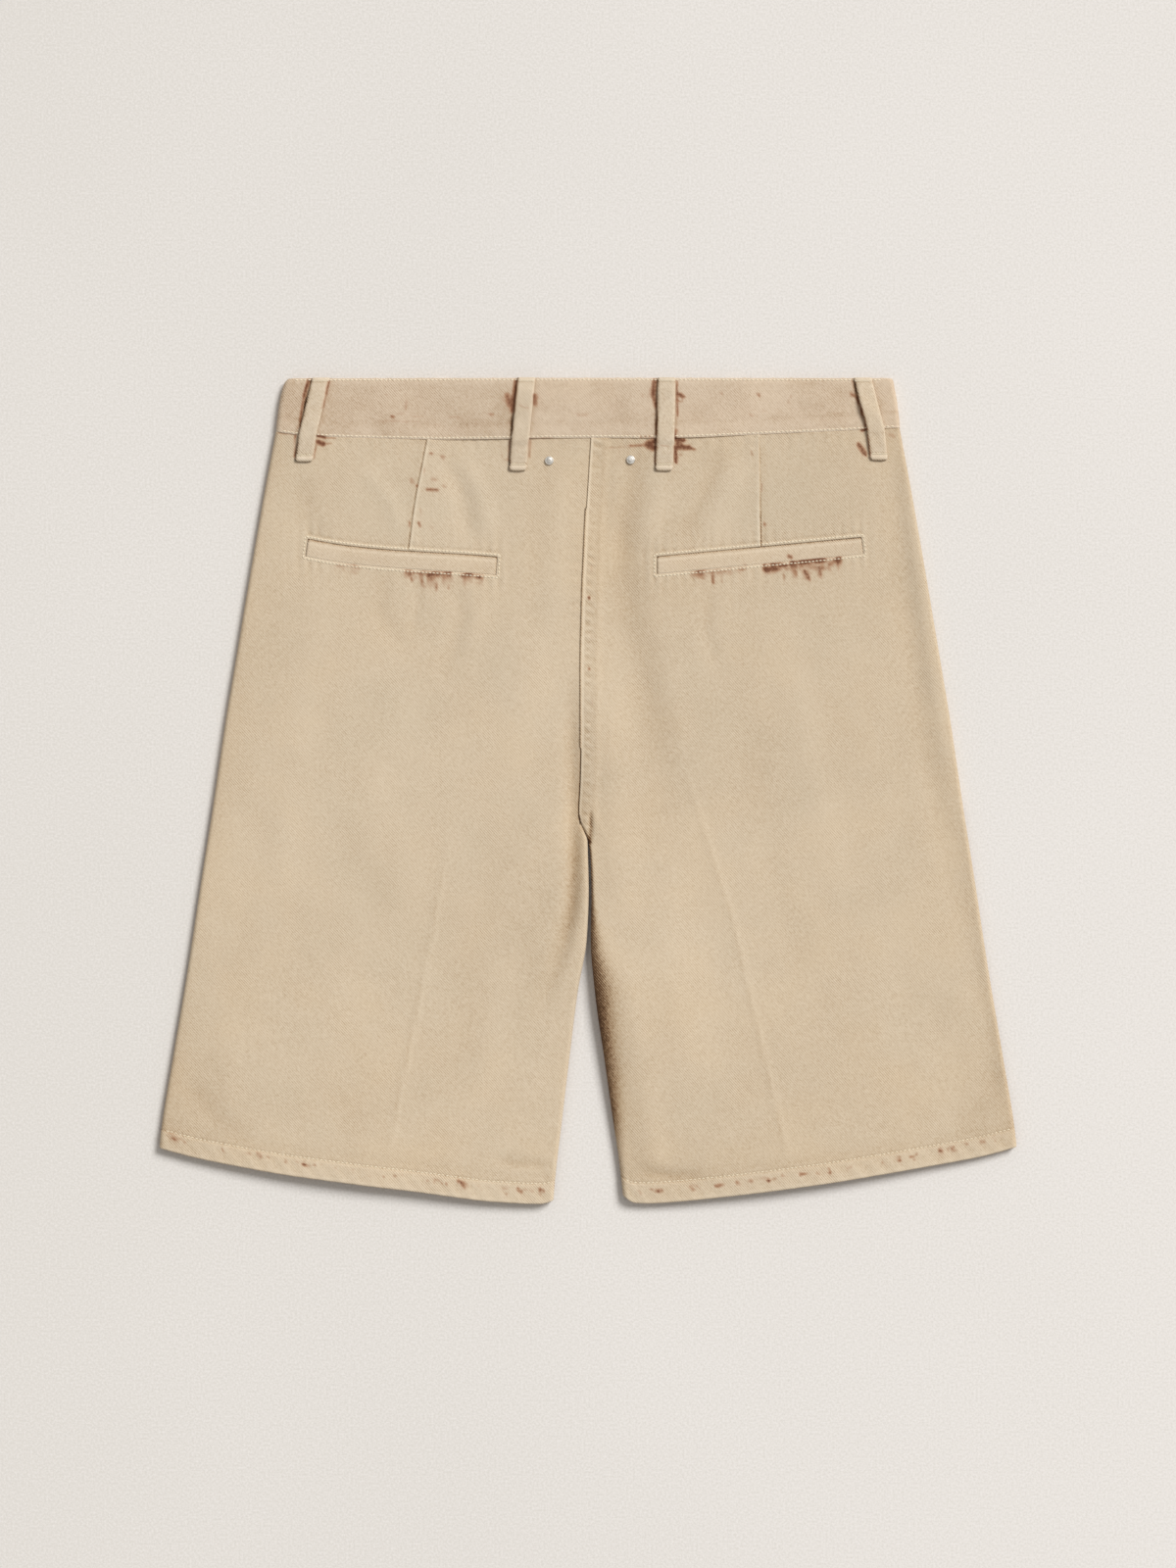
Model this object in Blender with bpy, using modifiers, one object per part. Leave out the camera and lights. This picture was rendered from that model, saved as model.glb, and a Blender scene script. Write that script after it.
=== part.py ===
"""Bermuda shorts of heavy cotton twill, lying flat with the back side up.

Blender 4.5.  Scene units are metres, the tables below are in millimetres.
X runs across the shorts (the wearer's left leg is at -X), Y runs up to the
waist and Z up from the surface that they lie on.  The origin is under the
middle of the shorts, on that surface.

Every cloth panel is a wall on a surface that is worked out from the section
table: a section runs across one leg from the side seam to the centre seam or
the inseam.  u is the place along a section (0 at the side seam), v the place
from section to section (0 at the waist seam).
"""
import math

import bmesh
import bpy
import numpy as np

MM = 0.001

# Cloth, in millimetres.
CLOTH = 1.2             # wall of a panel: heavy twill with its seam allowances
HEM_WALL = 2.2          # the same at the hem, which is turned up twice
BAND_WALL = 2.0         # waistband, two layers and a stiffener
WELT_WALL = 1.8         # pocket welt, folded double
LOOP_WALL = 1.8         # belt loop, folded in three
GAP = 0.3               # between pieces at a seam

# Waistband.
WAIST_Y = 294.0         # its top edge
WAIST_SEAM_Y = 257.0    # about where its lower edge is
BAND_LAP_END = 6.0      # x of the outer end, past the centre front
BAND_UNDERLAP_END = -34.0
LAP_CLEAR = 1.5         # from the outer end to where the underlap leaves the surface
LAP_RAMP = 5.0          # length of the step from the underlap to the single wall
BAND_HEIGHTS = ((0.0, 8.7), (60.0, 8.7), (115.0, 7.7), (190.0, 6.9), (225.0, 6.9))
# Where its columns and rows stand, as shares of each stretch.
BAND_OUTER_FRONT = (0.0, 0.18, 0.36, 0.54, 0.68, 0.82, 0.92)
BAND_UNDER_FRONT = (0.08, 0.18, 0.32, 0.46, 0.64, 0.82, 1.0)
BAND_TURN = (-90.0, -60.0, -30.0, 0.0, 30.0, 60.0, 90.0)
BAND_BACK_COLUMNS = 20
BAND_ROWS = (0.0, 0.05, 0.35, 0.68, 1.0)

# Front: the panels lift off the surface where loops and button lie under them.
FRONT_LIFT = 1.9
LIFT_FULL_X = 122.0
LIFT_END_X = 188.0
LIFT_FULL_Y = 228.0
LIFT_END_Y = 185.0
FLY_EDGE_X = 4.0        # edge of the outer, left front at the fly
FLY_END_Y = 97.0        # the fly closes here and the seam goes on to the crotch

# Slanted side pockets in the front.
POCKET_TOP = 48.0       # the opening's distance from the side seam at the waist
POCKET_FOOT = 6.5       # and at its lower end
POCKET_END_Y = 72.0
NOTCH = 1.5             # height of the step below the opening
EDGE_TRIM = 0.5         # cut off the seam edge where it turns out of its plane
FRONT_HEM_SHORT = 1.5   # the front hem stays hidden behind the back's
FACING_UNDERLAP = 22.0  # how far the facing runs on behind the opening
FACING_ROWS = 6
FACING_COLUMNS = 3

# Columns of the front where it laps over nothing, as shares of its width, and
# how far before the rounded inner edge its flat cloth ends.
PLAIN_RAMP = 0.8
PLAIN_LAP = 0.84
FLAT_CLEAR = 0.8
FRONT_COLUMNS = 7

# Small pieces.
LOOP_WIDTH = 12.6
LOOP_ARCH = 1.2         # room for a belt under a loop, as it lies flat
BUTTON_RADIUS = 7.5
BUTTON_THICKNESS = 1.5
BUTTON_X = -8.0
BUTTON_CLEAR = 0.05     # the button's face above the surface
RIVET_RADIUS = 3.1
RIVET_RISE = 1.0
RIVET_SKIRT = 0.25      # upright edge of a rivet's head
RIVET_ANGLES = (0.0, 30.0, 60.0)
RIVET_SIDES = 16

# A belt loop from top to foot: what y is counted from, y, share of the arch.
LOOP_ROWS = (
    ("top", -0.3, 0.0),
    ("top", -4.0, 0.15),
    ("top", -9.0, 1.0),
    ("top", -24.0, 1.0),
    ("seam", 3.0, 1.0),
    ("seam", -3.0, 1.0),
    ("foot", 12.0, 1.0),
    ("foot", 7.0, 0.15),
    ("foot", 0.0, 0.0),
)
LOOP_CLEAR = 0.4        # from a loop's ends to the cloth below

# The rounded edge at a side seam or an inseam, from the seam up to the flat:
# EDGE_FLAT is the share of its height that is upright.
EDGE_FLAT = 0.12
EDGE_ANGLES = (0.0, 0.0, 30.0, 60.0, 90.0)
EDGE_COLUMNS = len(EDGE_ANGLES)
EDGE_SHARE = 0.45       # share of a section over which an edge's height runs out
FRONT_START = 0.02      # v at which the front starts, below the waist seam
SEAM_TURN = 0.5         # sections past the seam's end and past the crotch at
CROTCH_TURN = 0.4       # which the front has one more row
TRIM_REACH = 0.6        # sections either side of the crotch with a trimmed edge
FACING_CLEAR = 0.2      # more than a seam's gap between facing and notch

# Outline: y, half width.
OUTLINE = (
    (294.0, 213.5),
    (292.0, 216.0),
    (256.5, 222.6),
    (214.5, 230.4),
    (158.5, 240.2),
    (102.5, 249.6),
    (46.5, 258.9),
    (-9.5, 267.2),
    (-65.5, 276.0),
    (-128.5, 285.6),
    (-191.5, 296.2),
    (-244.0, 304.6),
    (-254.0, 305.6),
)

# Sections of the back, from the waist seam to the hem:
# left leg side y, inner x, inner y, then the same for the right leg.
SECTIONS = (
    (255.5, 1.9, 250.9, 258.3, 2.2, 250.9),
    (235.0, 0.4, 226.0, 237.0, 0.7, 226.0),
    (210.0, -1.4, 196.0, 212.0, -1.1, 196.0),
    (182.5, -2.9, 160.4, 184.1, -2.6, 161.7),
    (170.5, -3.5, 147.0, 172.4, -3.2, 149.0),
    (148.0, -4.2, 123.0, 149.0, -3.9, 124.0),
    (112.0, -4.9, 85.0, 112.0, -4.6, 86.0),
    (72.0, -4.9, 43.0, 72.0, -4.6, 43.0),
    (38.0, -5.5, 9.0, 38.0, -5.2, 9.0),
    (14.0, -6.6, -16.0, 14.0, -6.3, -16.0),
    (-5.0, -0.3, -36.0, -5.0, 0.1, -36.0),
    (-16.0, 0.0, -46.0, -16.0, 1.6, -46.0),
    (-42.0, 0.6, -72.0, -42.0, 2.4, -72.0),
    (-80.0, -0.8, -106.0, -80.0, 2.0, -108.0),
    (-120.0, -7.3, -144.0, -120.0, 5.0, -145.0),
    (-165.0, -13.6, -194.0, -165.0, 12.0, -194.0),
    (-205.0, -18.6, -236.0, -204.0, 17.8, -235.0),
    (-228.0, -22.0, -264.0, -227.0, 21.8, -261.0),
    (-241.5, -23.5, -278.0, -240.5, 23.4, -275.0),
    (-254.2, -24.6, -291.7, -253.4, 25.0, -288.8),
)
SECTION_COLUMNS = ("side_y", "inner_x", "inner_y")
WELT_TOP, WELT_FOOT = 3, 4      # sections along the pocket welt's long edges
SEAM_END, CROTCH = 9, 10
HEM_BAND, HEM = 18, 19
LONG_SECTIONS = (0, 2, 5, 6, 7, 8, 9, 12, 13, 14, 15, 16)   # each has one more behind it

# Columns of a back panel: u of the flat cloth's first and last, how many stand
# over the pocket opening, and how many between it and the last one.
BACK_FIRST_U = 0.03
BACK_LAST_U = 0.945
WELT_COLUMNS = 8
INNER_COLUMNS = {"left": 3, "right": 3}

# Height of the upper surface at the same sections: at the side seam's edge, in
# the middle, at the inner edge of the left and of the right leg; then how far
# the inner edges are rounded down, and how far in each leg's rounding reaches.
HEIGHTS = (
    (6.4, 7.2, 8.2, 8.2, 0.0, 2.8, 2.8),
    (6.4, 6.9, 7.6, 7.6, 0.0, 2.8, 2.8),
    (6.4, 6.5, 6.9, 6.9, 0.0, 2.8, 2.8),
    (6.4, 6.3, 6.4, 6.4, 0.0, 2.8, 2.8),
    (6.4, 6.3, 6.3, 6.3, 0.0, 2.8, 2.8),
    (6.4, 6.3, 6.2, 6.2, 0.0, 2.8, 2.8),
    (6.4, 6.3, 6.0, 6.0, 0.0, 2.8, 2.8),
    (6.4, 6.3, 6.0, 6.0, 0.0, 2.8, 2.8),
    (6.4, 6.3, 6.2, 6.2, 0.0, 2.8, 2.6),
    (6.4, 6.3, 6.5, 6.5, 0.0, 2.8, 2.2),
    (6.4, 6.3, 7.0, 7.0, 1.0, 2.8, 1.8),
    (6.4, 6.3, 7.3, 7.4, 1.0, 2.8, 1.6),
    (6.4, 6.4, 7.5, 8.2, 1.0, 2.8, 2.2),
    (6.4, 6.6, 7.4, 10.2, 1.0, 2.8, 8.0),
    (6.4, 7.0, 7.1, 12.4, 1.0, 2.8, 14.5),
    (6.4, 7.7, 6.9, 11.2, 1.0, 2.8, 13.0),
    (6.6, 8.8, 7.0, 8.6, 1.0, 2.9, 9.0),
    (6.8, 9.5, 7.2, 7.6, 1.0, 3.0, 5.0),
    (7.0, 10.0, 7.4, 7.3, 1.0, 3.1, 4.0),
    (7.0, 10.4, 7.4, 7.2, 1.0, 3.1, 3.6),
)
HEIGHT_COLUMNS = ("rim", "middle", "inner_left", "inner_right", "roll", "reach_left", "reach_right")
PUFF_START = 12.0       # the right leg's inner side puffs up: distances from
PUFF_WIDTH = 110.0      # its edge where the puff starts to fall, and how far on it ends

# How far the waist seam and the hem bow below the straight section line:
# u, waist left, waist right, hem left, hem right.
BOWS = (
    (0.00, 0.0, 0.0, 0.0, 0.0),
    (0.10, 2.5, 0.4, 3.5, 3.7),
    (0.20, 3.1, 0.9, 5.3, 5.3),
    (0.35, 3.4, 1.2, 6.9, 7.3),
    (0.50, 3.4, 1.6, 6.9, 8.8),
    (0.65, 2.6, 2.1, 6.4, 9.2),
    (0.80, 1.3, 1.7, 6.7, 8.8),
    (0.90, 0.6, 0.8, 5.3, 7.8),
    (0.97, 0.2, 0.2, 3.2, 5.4),
    (1.00, 0.0, 0.0, 0.0, 0.0),
)
BOW_FADE = 3.0          # sections over which the waist's bow runs out
HEM_BOW_FADE = 9.0      # and the hem's

# The largest folds of the back: width, height, the lengths over which it rises at
# its start and dies out at its end, then the points of its line.
FOLDS = (
    (16.0, -1.2, 45.0, 150.0, (6.0, 256.0), (12.0, 224.0), (26.0, 120.0), (38.0, 50.0), (56.0, -20.0),
     (70.0, -80.0)),
    (17.0, -0.8, 60.0, 80.0, (74.0, -40.0), (88.0, -140.0), (100.0, -235.0)),
    (13.0, 1.0, 60.0, 60.0, (8.0, 100.0), (14.0, 0.0), (22.0, -70.0), (30.0, -120.0)),
    (12.0, 1.4, 90.0, 25.0, (20.0, -95.0), (29.0, -145.0), (37.0, -200.0), (45.0, -262.0), (47.0, -284.0)),
    (14.0, 0.9, 40.0, 60.0, (-34.0, 215.0), (-36.0, 190.0), (-46.0, 46.0), (-50.0, 15.0)),
    (17.0, -0.7, 40.0, 60.0, (-84.0, 130.0), (-95.0, 107.0), (-150.0, 0.0), (-165.0, -30.0)),
    (6.5, -2.0, 115.0, 110.0, (-11.5, 98.0), (-10.0, 0.0), (-9.0, -45.0), (-11.0, -80.0), (-17.0, -108.0),
     (-30.0, -146.0), (-40.0, -185.0)),
    (8.0, -0.6, 20.0, 60.0, (217.0, 248.0), (229.0, 150.0), (238.0, 60.0), (241.0, 30.0)),
    (9.0, -0.8, 20.0, 25.0, (88.0, 248.0), (52.0, 192.0), (44.0, 178.0)),
    (8.0, -0.6, 20.0, 20.0, (-93.0, 240.0), (-86.0, 186.0), (-85.0, 172.0)),
    (8.0, -0.9, 15.0, 30.0, (-85.0, 148.0), (-95.0, 98.0), (-100.0, 80.0)),
)
FOLD_EDGE_FADE = 14.0   # folds die out towards a rounded edge

# The right panel lies raised over the centre seam's allowance.
ALLOWANCE_WIDTH = 9.0
ALLOWANCE_RISE = 0.65
ALLOWANCE_STEP = 7.0    # width of the slope down beside it

# Pocket welts: leg, u of the outer end, u of the inner end, how far it sags.
WELTS = (
    ("left", 0.156, 0.7355, 2.3),
    ("right", 0.172, 0.7835, 0.0),
)
WELT_SAG_FADE = 2.5     # sections over which the sag runs out above and below
SAG_SCALE = 6.75        # brings the highest point of t (1 - t) (1 - t) to 1

# Belt loops of the back: name, x at the top, at the waist seam, at the foot,
# y of the foot.
BACK_LOOPS = (
    ("side_left", -190.0, -199.8, -202.4, 234.0),
    ("back_left", -43.8, -48.1, -50.2, 227.4),
    ("back_right", 55.9, 55.2, 54.0, 227.4),
    ("side_right", 195.4, 204.8, 207.3, 235.0),
)
FRONT_LOOPS = (
    ("front_left", -105.0, 232.0),
    ("front_right", 105.0, 232.0),
)

# Front edges at the fly: y, x of the left front's edge, x of the right
# front's edge, how far the right front lies above the left one.
FLY = (
    (256.0, FLY_EDGE_X, -34.0, 1.0),
    (128.0, FLY_EDGE_X, -33.0, 1.0),
    (112.0, FLY_EDGE_X, -25.0, 1.0),
    (102.0, FLY_EDGE_X, -10.0, 1.0),
    (FLY_END_Y, -0.15, 0.15, 1.0),
    (84.0, -0.15, 0.15, 0.0),
    (0.0, -0.15, 0.15, 0.0),
    (-36.0, -0.3, 0.1, 0.0),
)

STUDS = (("left", -27.6, 234.8), ("right", 30.4, 235.4))

# Colours, sRGB 0 to 255.
TWILL = (208, 188, 161)
TWILL_PALE = (212, 194, 168)
TWILL_BAND = (204, 183, 156)
METAL = (190, 188, 184)
HORN = (120, 92, 62)

COLLECTION = "bermuda_shorts"


# ---------------------------------------------------------------- curves

def smooth_step(value):
    """0 below 0, 1 above 1, with an even slope between."""
    value = np.clip(value, 0.0, 1.0)
    return value * value * (3.0 - 2.0 * value)


def monotone(xs, ys, x):
    """Smooth curve through a table's points that never overshoots them."""
    xs = np.asarray(xs, dtype=float)
    ys = np.asarray(ys, dtype=float)
    step = np.diff(xs)
    slope = np.diff(ys) / step
    tangent = np.zeros(len(xs))
    tangent[0] = slope[0]
    tangent[-1] = slope[-1]
    for i in range(1, len(xs) - 1):
        if slope[i - 1] * slope[i] > 0.0:
            before = 2.0 * step[i] + step[i - 1]
            after = step[i] + 2.0 * step[i - 1]
            tangent[i] = (before + after) / (before / slope[i - 1] + after / slope[i])
    i = int(np.clip(np.searchsorted(xs, x, side="right") - 1, 0, len(xs) - 2))
    t = float(np.clip((x - xs[i]) / step[i], 0.0, 1.0))
    t2 = t * t
    t3 = t2 * t
    start = (2.0 * t3 - 3.0 * t2 + 1.0) * ys[i] + (t3 - 2.0 * t2 + t) * step[i] * tangent[i]
    end = (3.0 * t2 - 2.0 * t3) * ys[i + 1] + (t3 - t2) * step[i] * tangent[i + 1]
    return float(start + end)


def column(table, index):
    return [row[index] for row in table]


def half_width(y):
    """Half the width of the shorts at height y."""
    ys = [-value for value in column(OUTLINE, 0)]
    return monotone(ys, column(OUTLINE, 1), -y)


def section(leg, v):
    """The section at v: its two ends and its heights, by name."""
    index = range(len(SECTIONS))
    first = 0 if leg == "left" else len(SECTION_COLUMNS)
    values = {}
    for i, name in enumerate(SECTION_COLUMNS):
        values[name] = monotone(index, column(SECTIONS, first + i), v)
    for i, name in enumerate(HEIGHT_COLUMNS):
        values[name] = monotone(index, column(HEIGHTS, i), v)
    values["inner"] = values["inner_" + leg]
    values["reach"] = values["reach_" + leg]
    side = -1.0 if leg == "left" else 1.0
    values["side_x"] = side * half_width(values["side_y"])
    return values


def bow(leg, u, v):
    """How far the section at v hangs below its straight line."""
    us = column(BOWS, 0)
    waist = monotone(us, column(BOWS, 1 if leg == "left" else 2), u)
    hem = monotone(us, column(BOWS, 3 if leg == "left" else 4), u)
    at_waist = smooth_step(1.0 - v / BOW_FADE)
    at_hem = smooth_step(1.0 - (HEM - v) / HEM_BOW_FADE)
    return waist * at_waist + hem * at_hem + welt_sag(leg, u, v)


def welt_sag(leg, u, v):
    """Sag of the cloth round a pocket welt, most at a third of its length."""
    start, end, sag = next(row[1:] for row in WELTS if row[0] == leg)
    t = min(max((u - start) / (end - start), 0.0), 1.0)
    off = max(WELT_TOP - v, v - WELT_FOOT, 0.0)
    return sag * SAG_SCALE * t * (1.0 - t) ** 2 * smooth_step(1.0 - off / WELT_SAG_FADE)


def to_stretch(x, y, start, end):
    """Distance from a point to the straight line between two others, and the
    length along it to the nearest place."""
    length = math.dist(start, end)
    along_x = (end[0] - start[0]) / length
    along_y = (end[1] - start[1]) / length
    along = (x - start[0]) * along_x + (y - start[1]) * along_y
    along = min(max(along, 0.0), length)
    return math.hypot(x - start[0] - along * along_x, y - start[1] - along * along_y), along


def to_line(x, y, points):
    """Distance from a point to a line of points, and the lengths from the
    nearest place back to its start and on to its end."""
    nearest = (math.inf, 0.0)
    travelled = 0.0
    for start, end in zip(points, points[1:]):
        distance, along = to_stretch(x, y, start, end)
        nearest = min(nearest, (distance, travelled + along))
        travelled += math.dist(start, end)
    distance, along = nearest
    return distance, along, travelled - along


def fold_height(x, y):
    """Sum of the soft folds at a point of the back."""
    total = 0.0
    for width, height, rising, dying, *line in FOLDS:
        distance, before, after = to_line(x, y, line)
        share = smooth_step(before / rising) * smooth_step(after / dying)
        total += height * share * math.exp(-(distance / width) ** 2)
    return total


def front_lift(x, y):
    """How far the front lies off the surface, over its loops and button."""
    across = smooth_step((LIFT_END_X - abs(x)) / (LIFT_END_X - LIFT_FULL_X))
    down = smooth_step((y - LIFT_END_Y) / (LIFT_FULL_Y - LIFT_END_Y))
    return FRONT_LIFT * across * down


def band_height(x):
    """Upper surface of the waistband."""
    return monotone(column(BAND_HEIGHTS, 0), column(BAND_HEIGHTS, 1), abs(x))


# ---------------------------------------------------------------- surfaces

def edge_columns(reach, roll):
    """The columns at a rounded edge, from the seam in: distance from the edge
    and share of the height.  Where roll is 0 the edge isn't rounded down."""
    columns = []
    for k, degrees in enumerate(EDGE_ANGLES):
        angle = math.radians(degrees)
        curved = reach * (1.0 - math.cos(angle))
        level = reach * k / (EDGE_COLUMNS - 1)
        share = 0.0 if k == 0 else EDGE_FLAT + (1.0 - EDGE_FLAT) * math.sin(angle)
        columns.append((roll * curved + (1.0 - roll) * level, 1.0 - roll * (1.0 - share)))
    return columns


def half_round(thickness):
    """How far in the rounding of an edge of this thickness reaches."""
    return (1.0 - EDGE_FLAT) * thickness / 2.0


def plan_point(leg, u, v):
    """x and y of a point of a leg."""
    s = section(leg, v)
    x = s["side_x"] + (s["inner_x"] - s["side_x"]) * u
    y = s["side_y"] + (s["inner_y"] - s["side_y"]) * u - bow(leg, u, v)
    return x, y


def section_length(s):
    return math.hypot(s["inner_x"] - s["side_x"], s["inner_y"] - s["side_y"])


def back_height(leg, u, v):
    """Upper surface of a back panel, without the rounding at its edges."""
    s = section(leg, v)
    x, y = plan_point(leg, u, v)
    length = section_length(s)
    side = 1.0 - smooth_step(u / EDGE_SHARE)
    inner = 1.0 - smooth_step((1.0 - u) / EDGE_SHARE)
    height = s["middle"] + (s["rim"] - s["middle"]) * side + (s["inner_left"] - s["middle"]) * inner
    puff = 1.0 - smooth_step(((1.0 - u) * length - PUFF_START) / PUFF_WIDTH)
    height += (s["inner"] - s["inner_left"]) * puff
    fade = smooth_step(u * length / FOLD_EDGE_FADE)
    inner_fade = smooth_step((1.0 - u) * length / FOLD_EDGE_FADE)
    fade *= 1.0 - s["roll"] * (1.0 - inner_fade)
    height += fold_height(x, y) * fade
    if leg == "right":
        from_seam = (1.0 - u) * length
        rise = 1.0 - smooth_step((from_seam - ALLOWANCE_WIDTH) / ALLOWANCE_STEP)
        height += ALLOWANCE_RISE * rise * (1.0 - s["roll"])
    return height


def back_point(leg, u, v, share, thickness):
    """Outer point of a back panel; share is its share of the height above the
    seam of an edge of that thickness."""
    x, y = plan_point(leg, u, v)
    seam = thickness / 2.0 + GAP / 2.0
    return x, y, seam + (back_height(leg, u, v) - seam) * share


def back_rows(leg, vs, middle_us):
    """Outer points of a back panel, a list of rows."""
    rows = []
    for v in vs:
        s = section(leg, v)
        length = section_length(s)
        row = []
        for distance, share in edge_columns(half_round(s["rim"]), 1.0):
            row.append(back_point(leg, distance / length, v, share, s["rim"]))
        for u in middle_us:
            row.append(back_point(leg, u, v, 1.0, s["rim"]))
        for distance, share in reversed(edge_columns(s["reach"], s["roll"])):
            row.append(back_point(leg, 1.0 - distance / length, v, share, s["inner"]))
        rows.append(row)
    return rows


def top_of_back(x, y):
    """Height of the upper surface over a point of the plan, waistband too."""
    leg = "left" if x < 0.0 else "right"
    low, high = 0.0, float(HEM)
    for _ in range(40):
        v = (low + high) / 2.0
        s = section(leg, v)
        u = (x - s["side_x"]) / (s["inner_x"] - s["side_x"])
        if plan_point(leg, min(max(u, 0.0), 1.0), v)[1] > y:
            low = v
        else:
            high = v
    return back_height(leg, u, v)


def waist_seam_y(x):
    """y of the middle of the seam between the waistband and the panels."""
    leg = "left" if x < section("left", 0.0)["inner_x"] else "right"
    s = section(leg, 0.0)
    u = (x - s["side_x"]) / (s["inner_x"] - s["side_x"])
    return plan_point(leg, min(max(u, 0.0), 1.0), 0.0)[1] + GAP / 2.0


# ---------------------------------------------------------------- mesh making

def make_material(name, colour, roughness, metallic=0.0):
    material = bpy.data.materials.new(name)
    material.use_nodes = True
    shader = material.node_tree.nodes["Principled BSDF"]
    linear = []
    for value in colour:
        share = value / 255.0
        linear.append(share / 12.92 if share <= 0.04045 else ((share + 0.055) / 1.055) ** 2.4)
    shader.inputs["Base Color"].default_value = (*linear, 1.0)
    shader.inputs["Roughness"].default_value = roughness
    shader.inputs["Metallic"].default_value = metallic
    return material


def add_object(name, mesh, colour, roughness=0.9, metallic=0.0):
    thing = bpy.data.objects.new(name, mesh)
    mesh.materials.append(make_material(name + "_finish", colour, roughness, metallic))
    bpy.data.collections[COLLECTION].objects.link(thing)
    return thing


def lofted_surface(name, rows, outward, hole=()):
    """Open surface through rows of points; hole is (row, first, last column)."""
    mesh = bpy.data.meshes.new(name)
    bm = bmesh.new()
    grid = []
    for row in rows:
        grid.append([bm.verts.new((x * MM, y * MM, z * MM)) for x, y, z in row])
    for j in range(len(rows) - 1):
        for i in range(len(rows[0]) - 1):
            if hole and j == hole[0] and hole[1] <= i < hole[2]:
                continue
            face = [grid[j][i], grid[j + 1][i], grid[j + 1][i + 1], grid[j][i + 1]]
            if not outward:
                face.reverse()
            bm.faces.new(face)
    bm.to_mesh(mesh)
    bm.free()
    mesh.shade_smooth()
    return mesh


def add_wall(thing, wall, thick_points=(), thick_wall=None, side=-1.0):
    """Solidify a surface inwards; thick_points get the thicker wall."""
    modifier = thing.modifiers.new("wall", "SOLIDIFY")
    modifier.thickness = wall * MM
    modifier.offset = side
    if thick_wall:
        modifier.thickness = thick_wall * MM
        group = thing.vertex_groups.new(name="wall")
        everything = range(len(thing.data.vertices))
        group.add(list(everything), wall / thick_wall, "REPLACE")
        group.add(list(thick_points), 1.0, "REPLACE")
        modifier.vertex_group = group.name


def spread(start, end, count):
    """count places between start and end, without the two ends."""
    return [start + (end - start) * (i + 1) / (count + 1) for i in range(count)]


# ---------------------------------------------------------------- the pieces

def back_sections():
    """v of the back panels' rows: the table's sections, and one between the
    long ones and where the inner edge turns down."""
    halves = [j + 0.5 for j in LONG_SECTIONS]
    return sorted([float(j) for j in range(HEM + 1)] + halves)


def make_back(leg, welt_start, welt_end):
    vs = back_sections()
    middle = spread(BACK_FIRST_U, welt_start, 1) + [welt_start]
    middle += spread(welt_start, welt_end, WELT_COLUMNS) + [welt_end]
    middle += spread(welt_end, BACK_LAST_U, INNER_COLUMNS[leg]) + [BACK_LAST_U]
    rows = back_rows(leg, vs, middle)
    hole_row = vs.index(float(WELT_TOP))
    first = EDGE_COLUMNS + middle.index(welt_start)
    last = EDGE_COLUMNS + middle.index(welt_end)
    surface = lofted_surface("back_" + leg, rows, leg == "left", (hole_row, first, last))
    panel = add_object("back_" + leg, surface, TWILL)
    width = len(rows[0])
    hem_first = vs.index(float(HEM_BAND)) * width
    add_wall(panel, CLOTH, range(hem_first, width * len(vs)), HEM_WALL)


def make_welt(leg, welt_start, welt_end):
    """The welt fills the pocket opening, a seam's gap clear of it all round."""
    top = section(leg, float(WELT_TOP))
    foot = section(leg, float(WELT_FOOT))
    margin_u = GAP / section_length(top)
    margin_v = GAP / (top["side_y"] - foot["side_y"])
    us = [welt_start + margin_u]
    us += spread(welt_start, welt_end, WELT_COLUMNS) + [welt_end - margin_u]
    rows = []
    for v in (WELT_TOP + margin_v, WELT_TOP + 0.5, WELT_FOOT - margin_v):
        row = []
        for u in us:
            x, y = plan_point(leg, u, v)
            above = back_height(leg, u, float(WELT_TOP))
            below = back_height(leg, u, float(WELT_FOOT))
            row.append((x, y, above + (below - above) * (v - WELT_TOP)))
        rows.append(row)
    surface = lofted_surface("welt_" + leg, rows, leg == "left")
    add_wall(add_object("welt_" + leg, surface, TWILL_PALE), WELT_WALL)


def v_where(leg, name, y):
    """v of the section whose side_y or inner_y is y."""
    low, high = 0.0, float(HEM)
    for _ in range(40):
        v = (low + high) / 2.0
        if section(leg, v)[name] > y:
            low = v
        else:
            high = v
    return v


def pocket_line(side_y):
    """Distance of the slanted pocket opening from the side seam's edge."""
    share = (side_y - POCKET_END_Y) / (SECTIONS[0][0] - POCKET_END_Y)
    return POCKET_FOOT + (POCKET_TOP - POCKET_FOOT) * share


def front_point(leg, distance, share, v, rise=0.0, trim=0.0, edge="rim"):
    """Outer point of the front: distance in from the side seam, along v."""
    s = section(leg, v)
    way = 1.0 if leg == "left" else -1.0
    x = s["side_x"] + way * distance
    u = distance / abs(s["inner_x"] - s["side_x"])
    near = min(u, 1.0)
    y = s["side_y"] + (s["inner_y"] - s["side_y"]) * u - bow(leg, near, v)
    if v > CROTCH:
        y += FRONT_HEM_SHORT * math.sin(math.pi * near) * smooth_step(v - CROTCH)
    seam = s[edge] / 2.0 - GAP / 2.0 - trim
    lowest = front_lift(x, y) + rise
    return x, y, seam + (lowest - seam) * share


def front_sections(leg, notch, notch_end):
    """v of the front's rows: the table's sections that its shape needs, the
    ends of the pocket and the fly, and where the inner edge turns down."""
    vs = [FRONT_START, 1.0, 2.0, 3.0, SEAM_END, SEAM_END + SEAM_TURN, CROTCH, CROTCH + CROTCH_TURN]
    vs += [*range(CROTCH + 1, HEM_BAND), HEM_BAND, HEM, notch, notch_end]
    vs += [v_where(leg, "inner_y", row[0]) for row in FLY[1:6]]
    return sorted(float(v) for v in vs)


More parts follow.
